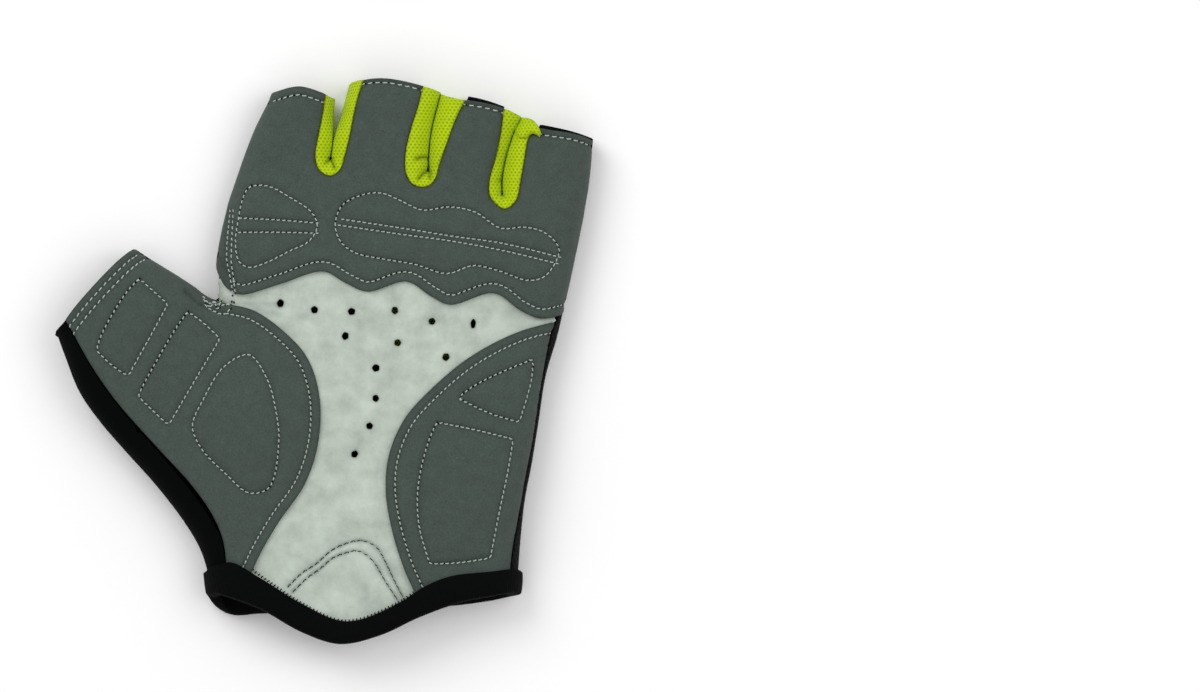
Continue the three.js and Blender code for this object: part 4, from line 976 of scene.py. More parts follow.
gussetPieces = []
valleys = [line for name, line in sides if name == "valley"]
for name, line, valley in zip(("index_middle", "middle_ring", "ring_little"), gussetEdges, valleys):
    onGusset = both(within(line), belowMouths, lambda points: sheetFrame(points)[2] == "valley")
    creases = [smoothLine(rows, 0.4) for rows in gussetCreases[name]]
    levelOf, slideOf = gussetForm(name, line, valley, creases)
    gussetPieces.append(clothPiece("gusset_" + name + "_knit", [("palm", onGusset), ("back", onGusset)],
                                   [line, mouthLine], creases, levelOf, 0, thickness, 0.6, ("valley",),
                                   slideOf))

# The top end of the last gusset is turned over and lies on the little finger
flap = {"thick": 1.3, "round": 1.0, "under": -0.42}
flapOutline = [
    (0.325, 1.12), (0.33, 1.147), (0.352, 1.149), (0.375, 1.143), (0.387, 1.13), (0.395, 1.113),
    (0.391, 1.103), (0.379, 1.11), (0.367, 1.11), (0.356, 1.1), (0.34, 1.098),
]
flapEdge = smoothLine(flapOutline, 0.6, closed=True)
flapEdge = np.vstack([flapEdge, flapEdge[:1]])


def flapDepth(points, half):
    fromEdge = distanceTo(points, [flapEdge])
    crown = np.sqrt(np.clip(1 - (1 - np.minimum(fromEdge / flap["round"], 1)) ** 2, 0, 1))
    return flap["under"] - 0.05 - flap["thick"] * crown + 0.06 * unevenness(points * 2)


gussetFlap = clothPiece("gusset_ring_little_flap", [("palm", within(flapEdge))], [flapEdge], [], flapDepth,
                        flap["under"], 0, 0.5)

insertOpening = outOf(insertEdge)
onBack = both(fingerSide, belowMeshMouths, aboveBackCuff, clearOfGussets, insertOpening)
backEdges = [heelStrip, shifted(backSeam, -glove["seamGap"]), meshMouthLine, backCuffLine, palmCuffLine,
             insertEdge] + gussetRooms
insertMiddle = np.array(place((0.056, 0.57)))
backFolds = [insertMiddle + (insertEdge - insertMiddle) * 1.06, shifted(backSeam, -2)]
backDepth = panelDepth(backEdges, backFolds, puff=0)
backPanel = clothPiece("back_panel_mesh", [("palm", onBackPalm), ("back", onBack)], backEdges, backFolds,
                       backDepth, 0, thickness, 1.4, ("heel",))

# The black fabric is hemmed at the thumb, and its roll shows at the end of the strip
stripHem = {"proud": 0.9, "from": 0.78, "to": 0.9, "roll": 0.7, "width": 1.6}
hemShare = np.linspace(0, 1, len(thumbMouthLine))
hemShare = (hemShare - stripHem["from"]) / (stripHem["to"] - stripHem["from"])
hemProud = stripHem["proud"] * smoothShare(hemShare)
blackMouthLine = thumbMouthLine + inwardNormals(thumbMouthLine) * hemProud[:, None]
insideBlackMouth = outOf(blackMouthLine, (-1.5, 0.6), (-1.5, 1.3), (-0.8, 1.3))
onThumbPalm = both(nearSide("thumb"), within(thumbStrip, (-1.5, -0.3), (-1.5, 0.9)), insideBlackMouth,
                   aboveCuff)
onThumbBack = both(thumbSide, insideBlackMouth, aboveBackCuff)
thumbBackEdges = [thumbStrip, backSeam, blackMouthLine, backCuffLine, palmCuffLine]
plainThumbBack = panelDepth(thumbBackEdges, [], puff=0)


def thumbBackDepth(points, half):
    level = plainThumbBack(points, half)
    if half == "palm":
        fromMouth = distanceTo(points, [blackMouthLine]) / stripHem["width"]
        level -= stripHem["roll"] * np.clip(1 - (fromMouth - 0.5) ** 2 * 4, 0, 1)
    return level


thumbBack = clothPiece("thumb_back_fabric", [("palm", onThumbPalm), ("back", onThumbBack)], thumbBackEdges,
                       [], thumbBackDepth, 0, thickness, 1.4, ("thumb",))

insertRing = insertMiddle + (insertEdge - insertMiddle) * 0.984
insertDepth = panelDepth([insertRing], [], puff=0)
backInsert = clothPiece("back_insert_knit", [("back", within(insertRing))], [insertRing], [],
                        insertDepth, 0, thickness, 1.2)
print("cloth pieces made")


# The cuff binding: a folded band carried round the mouth, on the levels of the wall
binding = {"steps": 150, "rollTurns": 9, "round": 0.5, "sinkFrom": -0.4, "sinkTo": -0.03, "waver": 0.12}


def alongAt(line, x):
    order = np.argsort(line[:, 0])
    return np.interp(x, line[order, 0], line[order, 1])


def acrossAt(line, y):
    order = np.argsort(line[:, 1])
    return np.interp(y, line[order, 1], line[order, 0])


def bindingPlaces(half, share, turn, y, level):
    reach = glove["rollWidth"] * (1 - math.cos(turn))
    leftSide = sides[0][1][sides[0][1][:, 1] < 0.3 * glove["palmLength"]]
    left = acrossAt(leftSide, y) + reach
    right = acrossAt(sides[-1][1], y) - reach
    flat = left + (right - left) * share
    points = np.column_stack([flat, y])
    middle = glove["backHeight"] + liftAt(points)
    if half == "palm":
        height = (glove["palmHeight"] - level + reliefAt(points)) * math.sin(turn)
    else:
        height = -(glove["backHeight"] - level - cuffRiseAt(points)) * math.sin(turn)
    side = 1 if share == 0 else -1
    return np.column_stack([flat + side * level * math.cos(turn), y, middle + height])


def makeBinding():
    palmHem = smoothLine(cuffPalmEdge)
    palmTop = smoothLine(bindingTopEdge)
    backHem = smoothLine(cuffBackEdge)
    quarter = math.pi / 2
    turns = [quarter * i / binding["rollTurns"] for i in range(binding["rollTurns"])]
    shares = [i / binding["steps"] for i in range(binding["steps"] + 1)]
    stations = [("palm", 0, turn) for turn in turns]
    stations += [("palm", share, quarter) for share in shares]
    stations += [("palm", 1, turn) for turn in turns[::-1]]
    stations += [("back", 1, turn) for turn in turns[1:]]
    stations += [("back", share, quarter) for share in shares[::-1]]
    stations += [("back", 0, turn) for turn in turns[:0:-1]]
    thick, gap = glove["bindingThickness"], glove["bindingGap"]
    sinkFrom, sinkTo = place((binding["sinkFrom"], 0))[0], place((binding["sinkTo"], 0))[0]
    sinkEase = 1.25 * glove["bindingWidth"]
    vertices, uv = [], []
    run = 0
    last = None
    for half, share, turn in stations:
        turned = math.sin(turn)
        x = bindingPlaces(half, share, turn, np.array([0.0]), 0)[0, 0]
        seamHem = min(alongAt(palmHem, x), alongAt(backHem, x))
        ownHem = alongAt(palmHem if half == "palm" else backHem, x)
        hem = seamHem + (ownHem - seamHem) * smoothShare(turned * 1.3)
        palmWide = alongAt(palmTop, x) - alongAt(palmHem, x)
        wide = glove["bindingWidth"]
        sunk = 0
        if half == "palm":
            wide = wide + (palmWide - wide) * turned
            sunk = smoothShare((x - sinkFrom) / sinkEase) * smoothShare((sinkTo - x) / sinkEase)
        outer = baseLevel * sunk - gap
        depth = layersDepth
        if half == "back":
            depth = layersDepth + (glove["clothThickness"] - layersDepth) * turned
        inner = depth + gap
        inside = inner + thick * 0.7
        outside = outer - thick
        bend = binding["round"] * 2
        # section: up the outside from the rolled hem, over the top edge, back along the lining
        section = [(wide - 0.15, outer - 0.1), (wide, outer - thick * 0.35), (wide - 0.12, outside + 0.2),
                   (wide - 0.45, outside)]
        section += [(wide - 0.45 + (bend - wide + 0.45) * i / 8, outside - 0.16 * math.sin(math.pi * i / 8))
                    for i in range(1, 9)]
        middle = (outside + inside) / 2
        halfDeep = (inside - outside) / 2
        section += [(bend * (1 - math.sin(a)), middle - halfDeep * math.cos(a)) for a in
                    [math.pi * i / 8 for i in range(1, 8)]]
        section += [(bend + (wide - 0.45 - bend) * i / 4, inside) for i in range(0, 5)]
        section += [(wide, inside - 0.2), (wide, inner), (wide / 2, inner), (thick + 0.3, inner - 0.1),
                    (thick + 0.3, outer + 0.1), (wide / 2, outer)]
        here = bindingPlaces(half, share, turn, np.array([hem + wide / 2]), outer)[0]
        run += 0 if last is None else np.linalg.norm(here - last)
        last = here
        for reach, level in section:
            vertices.append(bindingPlaces(half, share, turn, np.array([hem + reach]), level)[0])
            uv.append((run / 100, (reach + level) / 100))
    corners = len(vertices) // len(stations)
    faces = []
    for i in range(len(stations)):
        here = i * corners
        there = (i + 1) % len(stations) * corners
        for k in range(corners):
            nextK = (k + 1) % corners
            faces.append((here + k, there + k, there + nextK, here + nextK))
    vertices = np.array(vertices)
    vertices[:, 2] = np.maximum(vertices[:, 2], 0.05)
    return meshObject("cuff_binding_ribbed", toFrame(vertices), faces, np.array(uv))


cuffBinding = makeBinding()
print("binding made")


# Shader groups: each puts out only values that change over the surface.
def newGroup(name, inputs, outputs):
    group = bpy.data.node_groups.new(name, "ShaderNodeTree")
    for title, kind, value in inputs:
        socket = group.interface.new_socket(title, in_out="INPUT", socket_type=kind)
        if value is not None:
            socket.default_value = value
    for title, kind in outputs:
        group.interface.new_socket(title, in_out="OUTPUT", socket_type=kind)
    return group, group.nodes.new("NodeGroupInput"), group.nodes.new("NodeGroupOutput")


def addNode(tree, kind, settings=None, **inputs):
    made = tree.nodes.new(kind)
    for key, value in (settings or {}).items():
        setattr(made, key, value)
    for key, value in inputs.items():
        socket = made.inputs[int(key[1:])] if key[0] == "i" and key[1:].isdigit() else made.inputs[key]
        if isinstance(value, bpy.types.NodeSocket):
            tree.links.new(value, socket)
        else:
            socket.default_value = value
    return made


def maths(tree, operation, a, b=0.0, c=0.0):
    return addNode(tree, "ShaderNodeMath", {"operation": operation}, i0=a, i1=b, i2=c).outputs[0]


def vecMath(tree, operation, a, b=(0, 0, 0)):
    return addNode(tree, "ShaderNodeVectorMath", {"operation": operation}, i0=a, i1=b)


# Fine fibres and soft mottling of a napped or grained surface.
def napGroup():
    group, given, made = newGroup("fibre nap", [
        ("Vector", "NodeSocketVector", None), ("Fibre Scale", "NodeSocketFloat", 3000.0),
        ("Mottle Scale", "NodeSocketFloat", 300.0), ("Stretch", "NodeSocketFloat", 1.0)],
        [("Fibre", "NodeSocketFloat"), ("Mottle", "NodeSocketFloat"), ("Height", "NodeSocketFloat")])
    stretched = addNode(group, "ShaderNodeCombineXYZ", X=given.outputs["Stretch"], Y=1.0, Z=1.0)
    vector = vecMath(group, "MULTIPLY", given.outputs["Vector"], stretched.outputs[0]).outputs[0]
    fibre = addNode(group, "ShaderNodeTexNoise", None, Vector=vector, Scale=given.outputs["Fibre Scale"],
                    Detail=3.0, Roughness=0.65)
    mottle = addNode(group, "ShaderNodeTexNoise", None, Vector=given.outputs["Vector"],
                     Scale=given.outputs["Mottle Scale"], Detail=4.0, Roughness=0.6)
    height = maths(group, "MULTIPLY_ADD", mottle.outputs[0], 0.5, fibre.outputs[0])
    group.links.new(fibre.outputs[0], made.inputs["Fibre"])
    group.links.new(mottle.outputs[0], made.inputs["Mottle"])
    group.links.new(height, made.inputs["Height"])
    return group


# Small round holes of a knit on a staggered grid.
def knitGroup():
    group, given, made = newGroup("knit holes", [
        ("Vector", "NodeSocketVector", None), ("Per Metre", "NodeSocketFloat", 700.0),
        ("Hole", "NodeSocketFloat", 0.3), ("Softness", "NodeSocketFloat", 0.15)],
        [("Hole Mask", "NodeSocketFloat"), ("Height", "NodeSocketFloat")])
    scaled = vecMath(group, "SCALE", given.outputs["Vector"])
    group.links.new(given.outputs["Per Metre"], scaled.inputs["Scale"])
    squeezed = vecMath(group, "MULTIPLY", scaled.outputs[0], (1.0, 0.577, 0.0)).outputs[0]
    distances = []
    for offset in (0.0, 0.5):
        moved = vecMath(group, "ADD", squeezed, (offset, offset, 0.0)).outputs[0]
        cell = vecMath(group, "FRACTION", moved).outputs[0]
        centred = vecMath(group, "SUBTRACT", cell, (0.5, 0.5, 0.0)).outputs[0]
        even = vecMath(group, "MULTIPLY", centred, (1.0, 1.732, 0.0)).outputs[0]
        distances.append(vecMath(group, "LENGTH", even).outputs["Value"])
    nearest = maths(group, "MINIMUM", distances[0], distances[1])
    edge = maths(group, "ADD", given.outputs["Hole"], given.outputs["Softness"])
    hole = addNode(group, "ShaderNodeMapRange", {"interpolation_type": "SMOOTHSTEP"})
    group.links.new(nearest, hole.inputs["Value"])
    group.links.new(given.outputs["Hole"], hole.inputs["From Min"])
    group.links.new(edge, hole.inputs["From Max"])
    hole.inputs["To Min"].default_value = 1.0
    hole.inputs["To Max"].default_value = 0.0
    height = maths(group, "SUBTRACT", 1.0, hole.outputs[0])
    rounded = maths(group, "MULTIPLY_ADD", nearest, 0.8, height)
    group.links.new(hole.outputs[0], made.inputs["Hole Mask"])
    group.links.new(rounded, made.inputs["Height"])
    return group


# Tone of a cloth: patchy light and dark at random, with painted shade along the sewn rows and creases, and a
# painted rim along cut edges: darker where the amount is below zero (painted shadow plus the cut edge's own
# darker colour), paler where it is above zero.
def toneGroup():
    group, given, made = newGroup("cloth tone", [
        ("Color", "NodeSocketColor", (0.1, 0.1, 0.1, 1)), ("Fibre", "NodeSocketFloat", 0.5),
        ("Mottle", "NodeSocketFloat", 0.5), ("Fibre Amount", "NodeSocketFloat", 0.3),
        ("Mottle Amount", "NodeSocketFloat", 0.3), ("Fold", "NodeSocketFloat", 0.0),
        ("Fold Shade Amount", "NodeSocketFloat", 0.3), ("Rim", "NodeSocketFloat", 0.0),
        ("Rim Shade Amount", "NodeSocketFloat", 0.2)], [("Color", "NodeSocketColor"), ("Rim Shade", "NodeSocketFloat")])
    out = given.outputs
    fibre = maths(group, "MULTIPLY", maths(group, "SUBTRACT", out["Fibre"], 0.5), out["Fibre Amount"])
    mottle = maths(group, "MULTIPLY", maths(group, "SUBTRACT", out["Mottle"], 0.5), out["Mottle Amount"])
    # painted shade along the sewn rows and creases, where the stitches pull the cloth down
    fold = maths(group, "MULTIPLY", out["Fold"], out["Fold Shade Amount"])
    # painted rim at cut edges: partly painted shadow, partly the cut edge's own colour; paler where the
    # amount is above zero
    rim = maths(group, "MULTIPLY", maths(group, "POWER", out["Rim"], 3.0), out["Rim Shade Amount"])
    tone = maths(group, "ADD", maths(group, "ADD", fibre, mottle), maths(group, "SUBTRACT", rim, fold))
    tone = maths(group, "ADD", tone, 1.0)
    shaded = vecMath(group, "SCALE", out["Color"])
    group.links.new(tone, shaded.inputs["Scale"])
    group.links.new(shaded.outputs[0], made.inputs["Color"])
    group.links.new(rim, made.inputs["Rim Shade"])
    return group


# Ribs across a woven band, counted along its run.
def ribGroup():
    group, given, made = newGroup("band ribs", [
        ("Vector", "NodeSocketVector", None), ("Per Metre", "NodeSocketFloat", 1000.0)],
        [("Height", "NodeSocketFloat")])
    parts = addNode(group, "ShaderNodeSeparateXYZ", None, Vector=given.outputs["Vector"])
    run = maths(group, "MULTIPLY", parts.outputs[0], given.outputs["Per Metre"])
    wave = maths(group, "SINE", maths(group, "MULTIPLY", run, 2 * math.pi))
    group.links.new(maths(group, "MULTIPLY_ADD", wave, 0.5, 0.5), made.inputs["Height"])
    return group


# Sparse small dark pores of a leather.
def poreGroup():
    group, given, made = newGroup("leather pores", [
        ("Vector", "NodeSocketVector", None), ("Scale", "NodeSocketFloat", 520.0),
        ("Size", "NodeSocketFloat", 0.13), ("Share", "NodeSocketFloat", 0.06)],
        [("Spots", "NodeSocketFloat")])
    cells = addNode(group, "ShaderNodeTexVoronoi", {"feature": "F1"}, Vector=given.outputs["Vector"],
                    Scale=given.outputs["Scale"])
    parts = addNode(group, "ShaderNodeSeparateColor", None, Color=cells.outputs["Color"])
    picked = maths(group, "LESS_THAN", parts.outputs[0], given.outputs["Share"])
    spot = addNode(group, "ShaderNodeMapRange", {"interpolation_type": "SMOOTHSTEP"})
    group.links.new(cells.outputs["Distance"], spot.inputs["Value"])
    spot.inputs["From Min"].default_value = 0.0
    group.links.new(given.outputs["Size"], spot.inputs["From Max"])
    spot.inputs["To Min"].default_value = 1.0
    spot.inputs["To Max"].default_value = 0.0
    group.links.new(maths(group, "MULTIPLY", spot.outputs[0], picked), made.inputs["Spots"])
    return group


nap, knit, tone, ribs, pores = napGroup(), knitGroup(), toneGroup(), ribGroup(), poreGroup()


def linear(red, green, blue):
    return tuple(c / 12.92 if c <= 0.04045 else ((c + 0.055) / 1.055) ** 2.4
                 for c in (red / 255, green / 255, blue / 255)) + (1.0,)


# the fold amount is painted shade along sewn rows and creases; the rim amount is a painted rim at cut edges,
# darker below zero (painted shadow plus the cut edge's colour), paler above zero
finishes = {
    "grey_suede": {"color": (69, 79, 73), "fibre": 2400, "mottle": 320, "fibreAmount": 1.1,
                   "mottleAmount": 0.45, "foldShadeAmount": 0.24, "rimShadeAmount": -0.4, "roughness": 0.93,
                   "sheen": 0.06, "bump": 0.4, "depth": 0.00014, "specular": 0.12},
    "palm_leather": {"color": (179, 189, 178), "fibre": 2400, "mottle": 130, "fibreAmount": 0.22,
                     "mottleAmount": 0.9, "foldShadeAmount": 0.3, "rimShadeAmount": -0.3, "roughness": 0.62,
                     "sheen": 0.0, "bump": 0.4, "depth": 0.00012, "specular": 0.2, "pores": 0.5},
    "neon_knit": {"color": (176, 202, 12), "fibre": 4200, "mottle": 500, "fibreAmount": 0.3,
                  "mottleAmount": 0.2, "foldShadeAmount": 0.45, "rimShadeAmount": -0.2, "roughness": 0.75,
                  "sheen": 0.05, "bump": 0.5, "depth": 0.0002, "specular": 0.1,
                  "holes": (930, 0.15, 0.22), "holeShade": 0.62},
    "black_mesh": {"color": (9, 11, 10), "fibre": 3800, "mottle": 400, "fibreAmount": 0.4,
                   "mottleAmount": 0.4, "foldShadeAmount": 0.1, "rimShadeAmount": 0.1, "roughness": 0.75,
                   "sheen": 0.0, "bump": 0.8, "depth": 0.0004, "specular": 0.08,
                   "holes": (560, 0.27, 0.12), "holeShade": 0.1},
    "black_fabric": {"color": (4, 6, 5), "fibre": 3600, "mottle": 300, "fibreAmount": 0.5,
                     "mottleAmount": 0.5, "foldShadeAmount": 0.1, "rimShadeAmount": 0.2, "roughness": 0.85,
                     "sheen": 0.0, "bump": 0.35, "depth": 0.00012, "specular": 0.04},
    "black_binding": {"color": (8, 10, 9), "fibre": 3800, "mottle": 300, "fibreAmount": 0.4,
                      "mottleAmount": 0.4, "foldShadeAmount": 0.0, "rimShadeAmount": 0.0, "roughness": 0.72,
                      "sheen": 0.0, "bump": 0.8, "depth": 0.00025, "specular": 0.03, "ribs": 1350},
}


# What cloths and threads share: the coordinates, the nap and the tone that it gives.
def nappedSurface(tree, color, fibre, mottle):
    coordinates = addNode(tree, "ShaderNodeTexCoord")
    surface = addNode(tree, "ShaderNodeGroup", {"node_tree": nap})
    tree.links.new(coordinates.outputs["Object"], surface.inputs["Vector"])
    surface.inputs["Fibre Scale"].default_value = fibre
    surface.inputs["Mottle Scale"].default_value = mottle
    shade = addNode(tree, "ShaderNodeGroup", {"node_tree": tone})
    shade.inputs["Color"].default_value = linear(*color)
    tree.links.new(surface.outputs["Fibre"], shade.inputs["Fibre"])
    tree.links.new(surface.outputs["Mottle"], shade.inputs["Mottle"])
    return coordinates, surface, shade


def clothMaterial(name):
    finish = finishes[name]
    material = bpy.data.materials.new(name)
    material.use_nodes = True
    tree = material.node_tree
    shader = tree.nodes["Principled BSDF"]
    coordinates, surface, shade = nappedSurface(tree, finish["color"], finish["fibre"], finish["mottle"])
    flat = addNode(tree, "ShaderNodeUVMap", {"uv_map": "cloth"})
    fold = addNode(tree, "ShaderNodeAttribute", {"attribute_name": "fold"})
    rim = addNode(tree, "ShaderNodeAttribute", {"attribute_name": "rim"})
    height = surface.outputs["Height"]
    for key, socket in (("fibreAmount", "Fibre Amount"), ("mottleAmount", "Mottle Amount"),
                        ("foldShadeAmount", "Fold Shade Amount"), ("rimShadeAmount", "Rim Shade Amount")):
        shade.inputs[socket].default_value = finish[key]
    tree.links.new(fold.outputs["Fac"], shade.inputs["Fold"])
    tree.links.new(rim.outputs["Fac"], shade.inputs["Rim"])
    tint = shade.outputs["Color"]
    if "holes" in finish:
        cells = addNode(tree, "ShaderNodeGroup", {"node_tree": knit})
        onCloth = vecMath(tree, "SCALE", flat.outputs[0])
        onCloth.inputs["Scale"].default_value = 0.1
        tree.links.new(onCloth.outputs[0], cells.inputs["Vector"])
        for socket, value in zip(("Per Metre", "Hole", "Softness"), finish["holes"]):
            cells.inputs[socket].default_value = value
        height = maths(tree, "MULTIPLY_ADD", surface.outputs["Height"], 0.12, cells.outputs["Height"])
        dark = vecMath(tree, "SCALE", tint)
        dark.inputs["Scale"].default_value = finish["holeShade"]
        mixed = addNode(tree, "ShaderNodeMix", {"data_type": "RGBA"})
        tree.links.new(cells.outputs["Hole Mask"], mixed.inputs[0])
        tree.links.new(tint, mixed.inputs[6])
        tree.links.new(dark.outputs[0], mixed.inputs[7])
        tint = mixed.outputs[2]
    if "pores" in finish:
        spots = addNode(tree, "ShaderNodeGroup", {"node_tree": pores})
        tree.links.new(coordinates.outputs["Object"], spots.inputs["Vector"])
        spotted = vecMath(tree, "SCALE", tint)
        shadeOf = maths(tree, "MULTIPLY_ADD", spots.outputs["Spots"], -finish["pores"], 1.0)
        tree.links.new(shadeOf, spotted.inputs["Scale"])
        tint = spotted.outputs[0]
    if "ribs" in finish:
        band = addNode(tree, "ShaderNodeGroup", {"node_tree": ribs})
        onBand = vecMath(tree, "SCALE", flat.outputs[0])
        onBand.inputs["Scale"].default_value = 0.1
        tree.links.new(onBand.outputs[0], band.inputs["Vector"])
        band.inputs["Per Metre"].default_value = finish["ribs"]
        height = maths(tree, "MULTIPLY_ADD", surface.outputs["Height"], 0.25, band.outputs["Height"])
    bump = addNode(tree, "ShaderNodeBump", None, Height=height, Strength=finish["bump"],
                   Distance=finish["depth"])
    tree.links.new(bump.outputs[0], shader.inputs["Normal"])
    tree.links.new(tint, shader.inputs["Base Color"])
    rough = maths(tree, "MULTIPLY_ADD", surface.outputs["Mottle"], 0.12, finish["roughness"] - 0.06)
    tree.links.new(rough, shader.inputs["Roughness"])
    shader.inputs["Specular IOR Level"].default_value = finish["specular"]
    shader.inputs["Sheen Weight"].default_value = finish["sheen"]
    shader.inputs["Sheen Roughness"].default_value = 0.5
    return material


def threadMaterial(name, color, roughness):
    material = bpy.data.materials.new(name)
    material.use_nodes = True
    tree = material.node_tree
    shader = tree.nodes["Principled BSDF"]
    _, surface, shade = nappedSurface(tree, color, 5200, 700)
    shade.inputs["Fibre Amount"].default_value = 0.5
    shade.inputs["Mottle Amount"].default_value = 0.5
    tree.links.new(shade.outputs["Color"], shader.inputs["Base Color"])
    bump = addNode(tree, "ShaderNodeBump", None, Height=surface.outputs["Fibre"], Strength=0.4,
                   Distance=0.00006)
    tree.links.new(bump.outputs[0], shader.inputs["Normal"])
    rough = maths(tree, "MULTIPLY_ADD", surface.outputs["Mottle"], 0.1, roughness - 0.05)
    tree.links.new(rough, shader.inputs["Roughness"])
    shader.inputs["Specular IOR Level"].default_value = 0.15
    return material


materials = {name: clothMaterial(name) for name in finishes}
materials["pale_thread"] = threadMaterial("pale_thread", (176, 186, 178), 0.6)
materials["dark_thread"] = threadMaterial("dark_thread", (30, 45, 38), 0.65)
materials["black_thread"] = threadMaterial("black_thread", (14, 16, 15), 0.65)
# near-black material of the discs at the needle holes: painted shade, not a thread
materials["needle_hole_shade"] = threadMaterial("needle_hole_shade", (8, 10, 9), 0.9)
print("materials made")


def link(tree, source, target):
    tree.links.new(source, target)


# A row of stitches along the edges of a mesh whose "up" attribute points away from the cloth.
def stitchTree():
    tree = bpy.data.node_groups.new("stitch row", "GeometryNodeTree")
    wanted = [("Geometry", "NodeSocketGeometry", None), ("Pitch", "NodeSocketFloat", 0.0018),
              ("Stitch Length", "NodeSocketFloat", 0.0012), ("Thread Radius", "NodeSocketFloat", 0.0002),
              ("Rise", "NodeSocketFloat", 0.0002), ("Sink", "NodeSocketFloat", 0.0003),
              ("Hole Size", "NodeSocketFloat", 0.0003), ("Unevenness", "NodeSocketFloat", 0.12),
              ("Tilt", "NodeSocketFloat", 0.2),
              ("Seed", "NodeSocketInt", 1), ("Thread", "NodeSocketMaterial", None),
              ("Needle Hole Shade", "NodeSocketMaterial", None)]
    for title, kind, value in wanted:
        socket = tree.interface.new_socket(title, in_out="INPUT", socket_type=kind)
        if value is not None:
            socket.default_value = value
    tree.interface.new_socket("Geometry", in_out="OUTPUT", socket_type="NodeSocketGeometry")
    given = tree.nodes.new("NodeGroupInput")
    made = tree.nodes.new("NodeGroupOutput")
    out = given.outputs

    def put(kind, settings=None, **inputs):
        return addNode(tree, kind, settings, **inputs)

    def calc(operation, a, b=0.0):
        return put("ShaderNodeMath", {"operation": operation}, i0=a, i1=b).outputs[0]

    path = put("GeometryNodeMeshToCurve", None, Mesh=out["Geometry"])
    row = put("GeometryNodeResampleCurve", {"mode": "LENGTH"}, Curve=path.outputs[0], Length=out["Pitch"])
    tangent = put("GeometryNodeInputTangent")
    up = put("GeometryNodeInputNamedAttribute", {"data_type": "FLOAT_VECTOR"}, Name="up")
    upright = put("FunctionNodeAlignRotationToVector", {"axis": "Z"}, Vector=up.outputs[0])
    turned = put("FunctionNodeAlignRotationToVector", {"axis": "X", "pivot_axis": "Z"},
                 Rotation=upright.outputs[0], Vector=tangent.outputs[0])
    jitter = put("FunctionNodeRandomValue", {"data_type": "FLOAT"})
    link(tree, calc("MULTIPLY", out["Unevenness"], -1.0), jitter.inputs[2])
    link(tree, out["Unevenness"], jitter.inputs[3])
    link(tree, out["Seed"], jitter.inputs["Seed"])
    lean = calc("ADD", jitter.outputs[1], out["Tilt"])
    twist = put("FunctionNodeAxisAngleToRotation", None, Axis=(0, 0, 1), Angle=lean)
    facing = put("FunctionNodeRotateRotation", {"rotation_space": "LOCAL"}, Rotation=turned.outputs[0],
                 i1=twist.outputs[0])
    # one stitch: a thread that rises out of the cloth and dips back in
    halfLength = calc("MULTIPLY", out["Stitch Length"], 0.5)
    sink = calc("MULTIPLY", out["Sink"], -1.0)
    start = put("ShaderNodeCombineXYZ", None, X=calc("MULTIPLY", halfLength, -1.0), Z=sink)
    end = put("ShaderNodeCombineXYZ", None, X=halfLength, Z=sink)
    arch = put("GeometryNodeCurveQuadraticBezier", None, Resolution=6)
    top = put("ShaderNodeCombineXYZ", None, Z=calc("ADD", calc("MULTIPLY", out["Rise"], 2.0), out["Sink"]))
    link(tree, start.outputs[0], arch.inputs["Start"])
    link(tree, top.outputs[0], arch.inputs["Middle"])
    link(tree, end.outputs[0], arch.inputs["End"])
    profile = put("GeometryNodeCurvePrimitiveCircle", None, Resolution=6, Radius=out["Thread Radius"])
    thread = put("GeometryNodeCurveToMesh", None, Curve=arch.outputs[0])
    link(tree, profile.outputs[0], thread.inputs["Profile Curve"])
    thread.inputs["Fill Caps"].default_value = True
    smooth = put("GeometryNodeSetShadeSmooth", None, i0=thread.outputs[0])
    stitches = put("GeometryNodeInstanceOnPoints", None, Points=row.outputs[0])
    link(tree, smooth.outputs[0], stitches.inputs["Instance"])
    link(tree, facing.outputs[0], stitches.inputs["Rotation"])
    solid = put("GeometryNodeRealizeInstances", None, i0=stitches.outputs[0])
    threaded = put("GeometryNodeSetMaterial", None, Geometry=solid.outputs[0], Material=out["Thread"])
    # one dark disc between two stitches: painted shade in the needle hole
    disc = put("GeometryNodeMeshCylinder", {"fill_type": "NGON"}, Vertices=8, Radius=out["Hole Size"])
    disc.inputs["Depth"].default_value = 0.00006
    midway = put("ShaderNodeCombineXYZ", None, X=calc("MULTIPLY", out["Pitch"], 0.5), Z=0.00002)
    longer = put("GeometryNodeTransform", None, Geometry=disc.outputs["Mesh"], Translation=midway.outputs[0],
                 Scale=(1.25, 0.8, 1.0))
    holeShadeDiscs = put("GeometryNodeInstanceOnPoints", None, Points=row.outputs[0])
    link(tree, longer.outputs[0], holeShadeDiscs.inputs["Instance"])
    link(tree, turned.outputs[0], holeShadeDiscs.inputs["Rotation"])
    real = put("GeometryNodeRealizeInstances", None, i0=holeShadeDiscs.outputs[0])
    dark = put("GeometryNodeSetMaterial", None, Geometry=real.outputs[0], Material=out["Needle Hole Shade"])
    whole = put("GeometryNodeJoinGeometry")
    link(tree, dark.outputs[0], whole.inputs[0])
    link(tree, threaded.outputs[0], whole.inputs[0])
    link(tree, whole.outputs[0], made.inputs[0])
    return tree


stitchRow = stitchTree()


def socketOf(tree, title):
    for item in tree.interface.items_tree:
        if item.item_type == "SOCKET" and item.in_out == "INPUT" and item.name == title:
            return item.identifier


# Runs the tree over a piece and keeps the result as a plain mesh.
def grown(name, source, tree, values):
    modifier = source.modifiers.new("made", "NODES")
    modifier.node_group = tree
    for title, value in values.items():
        modifier[socketOf(tree, title)] = value
    depsgraph = bpy.context.evaluated_depsgraph_get()
    mesh = bpy.data.meshes.new_from_object(source.evaluated_get(depsgraph))
    mesh.name = name
    piece = bpy.data.objects.new(name, mesh)
    bpy.context.scene.collection.objects.link(piece)
    bpy.data.objects.remove(source)
    return piece


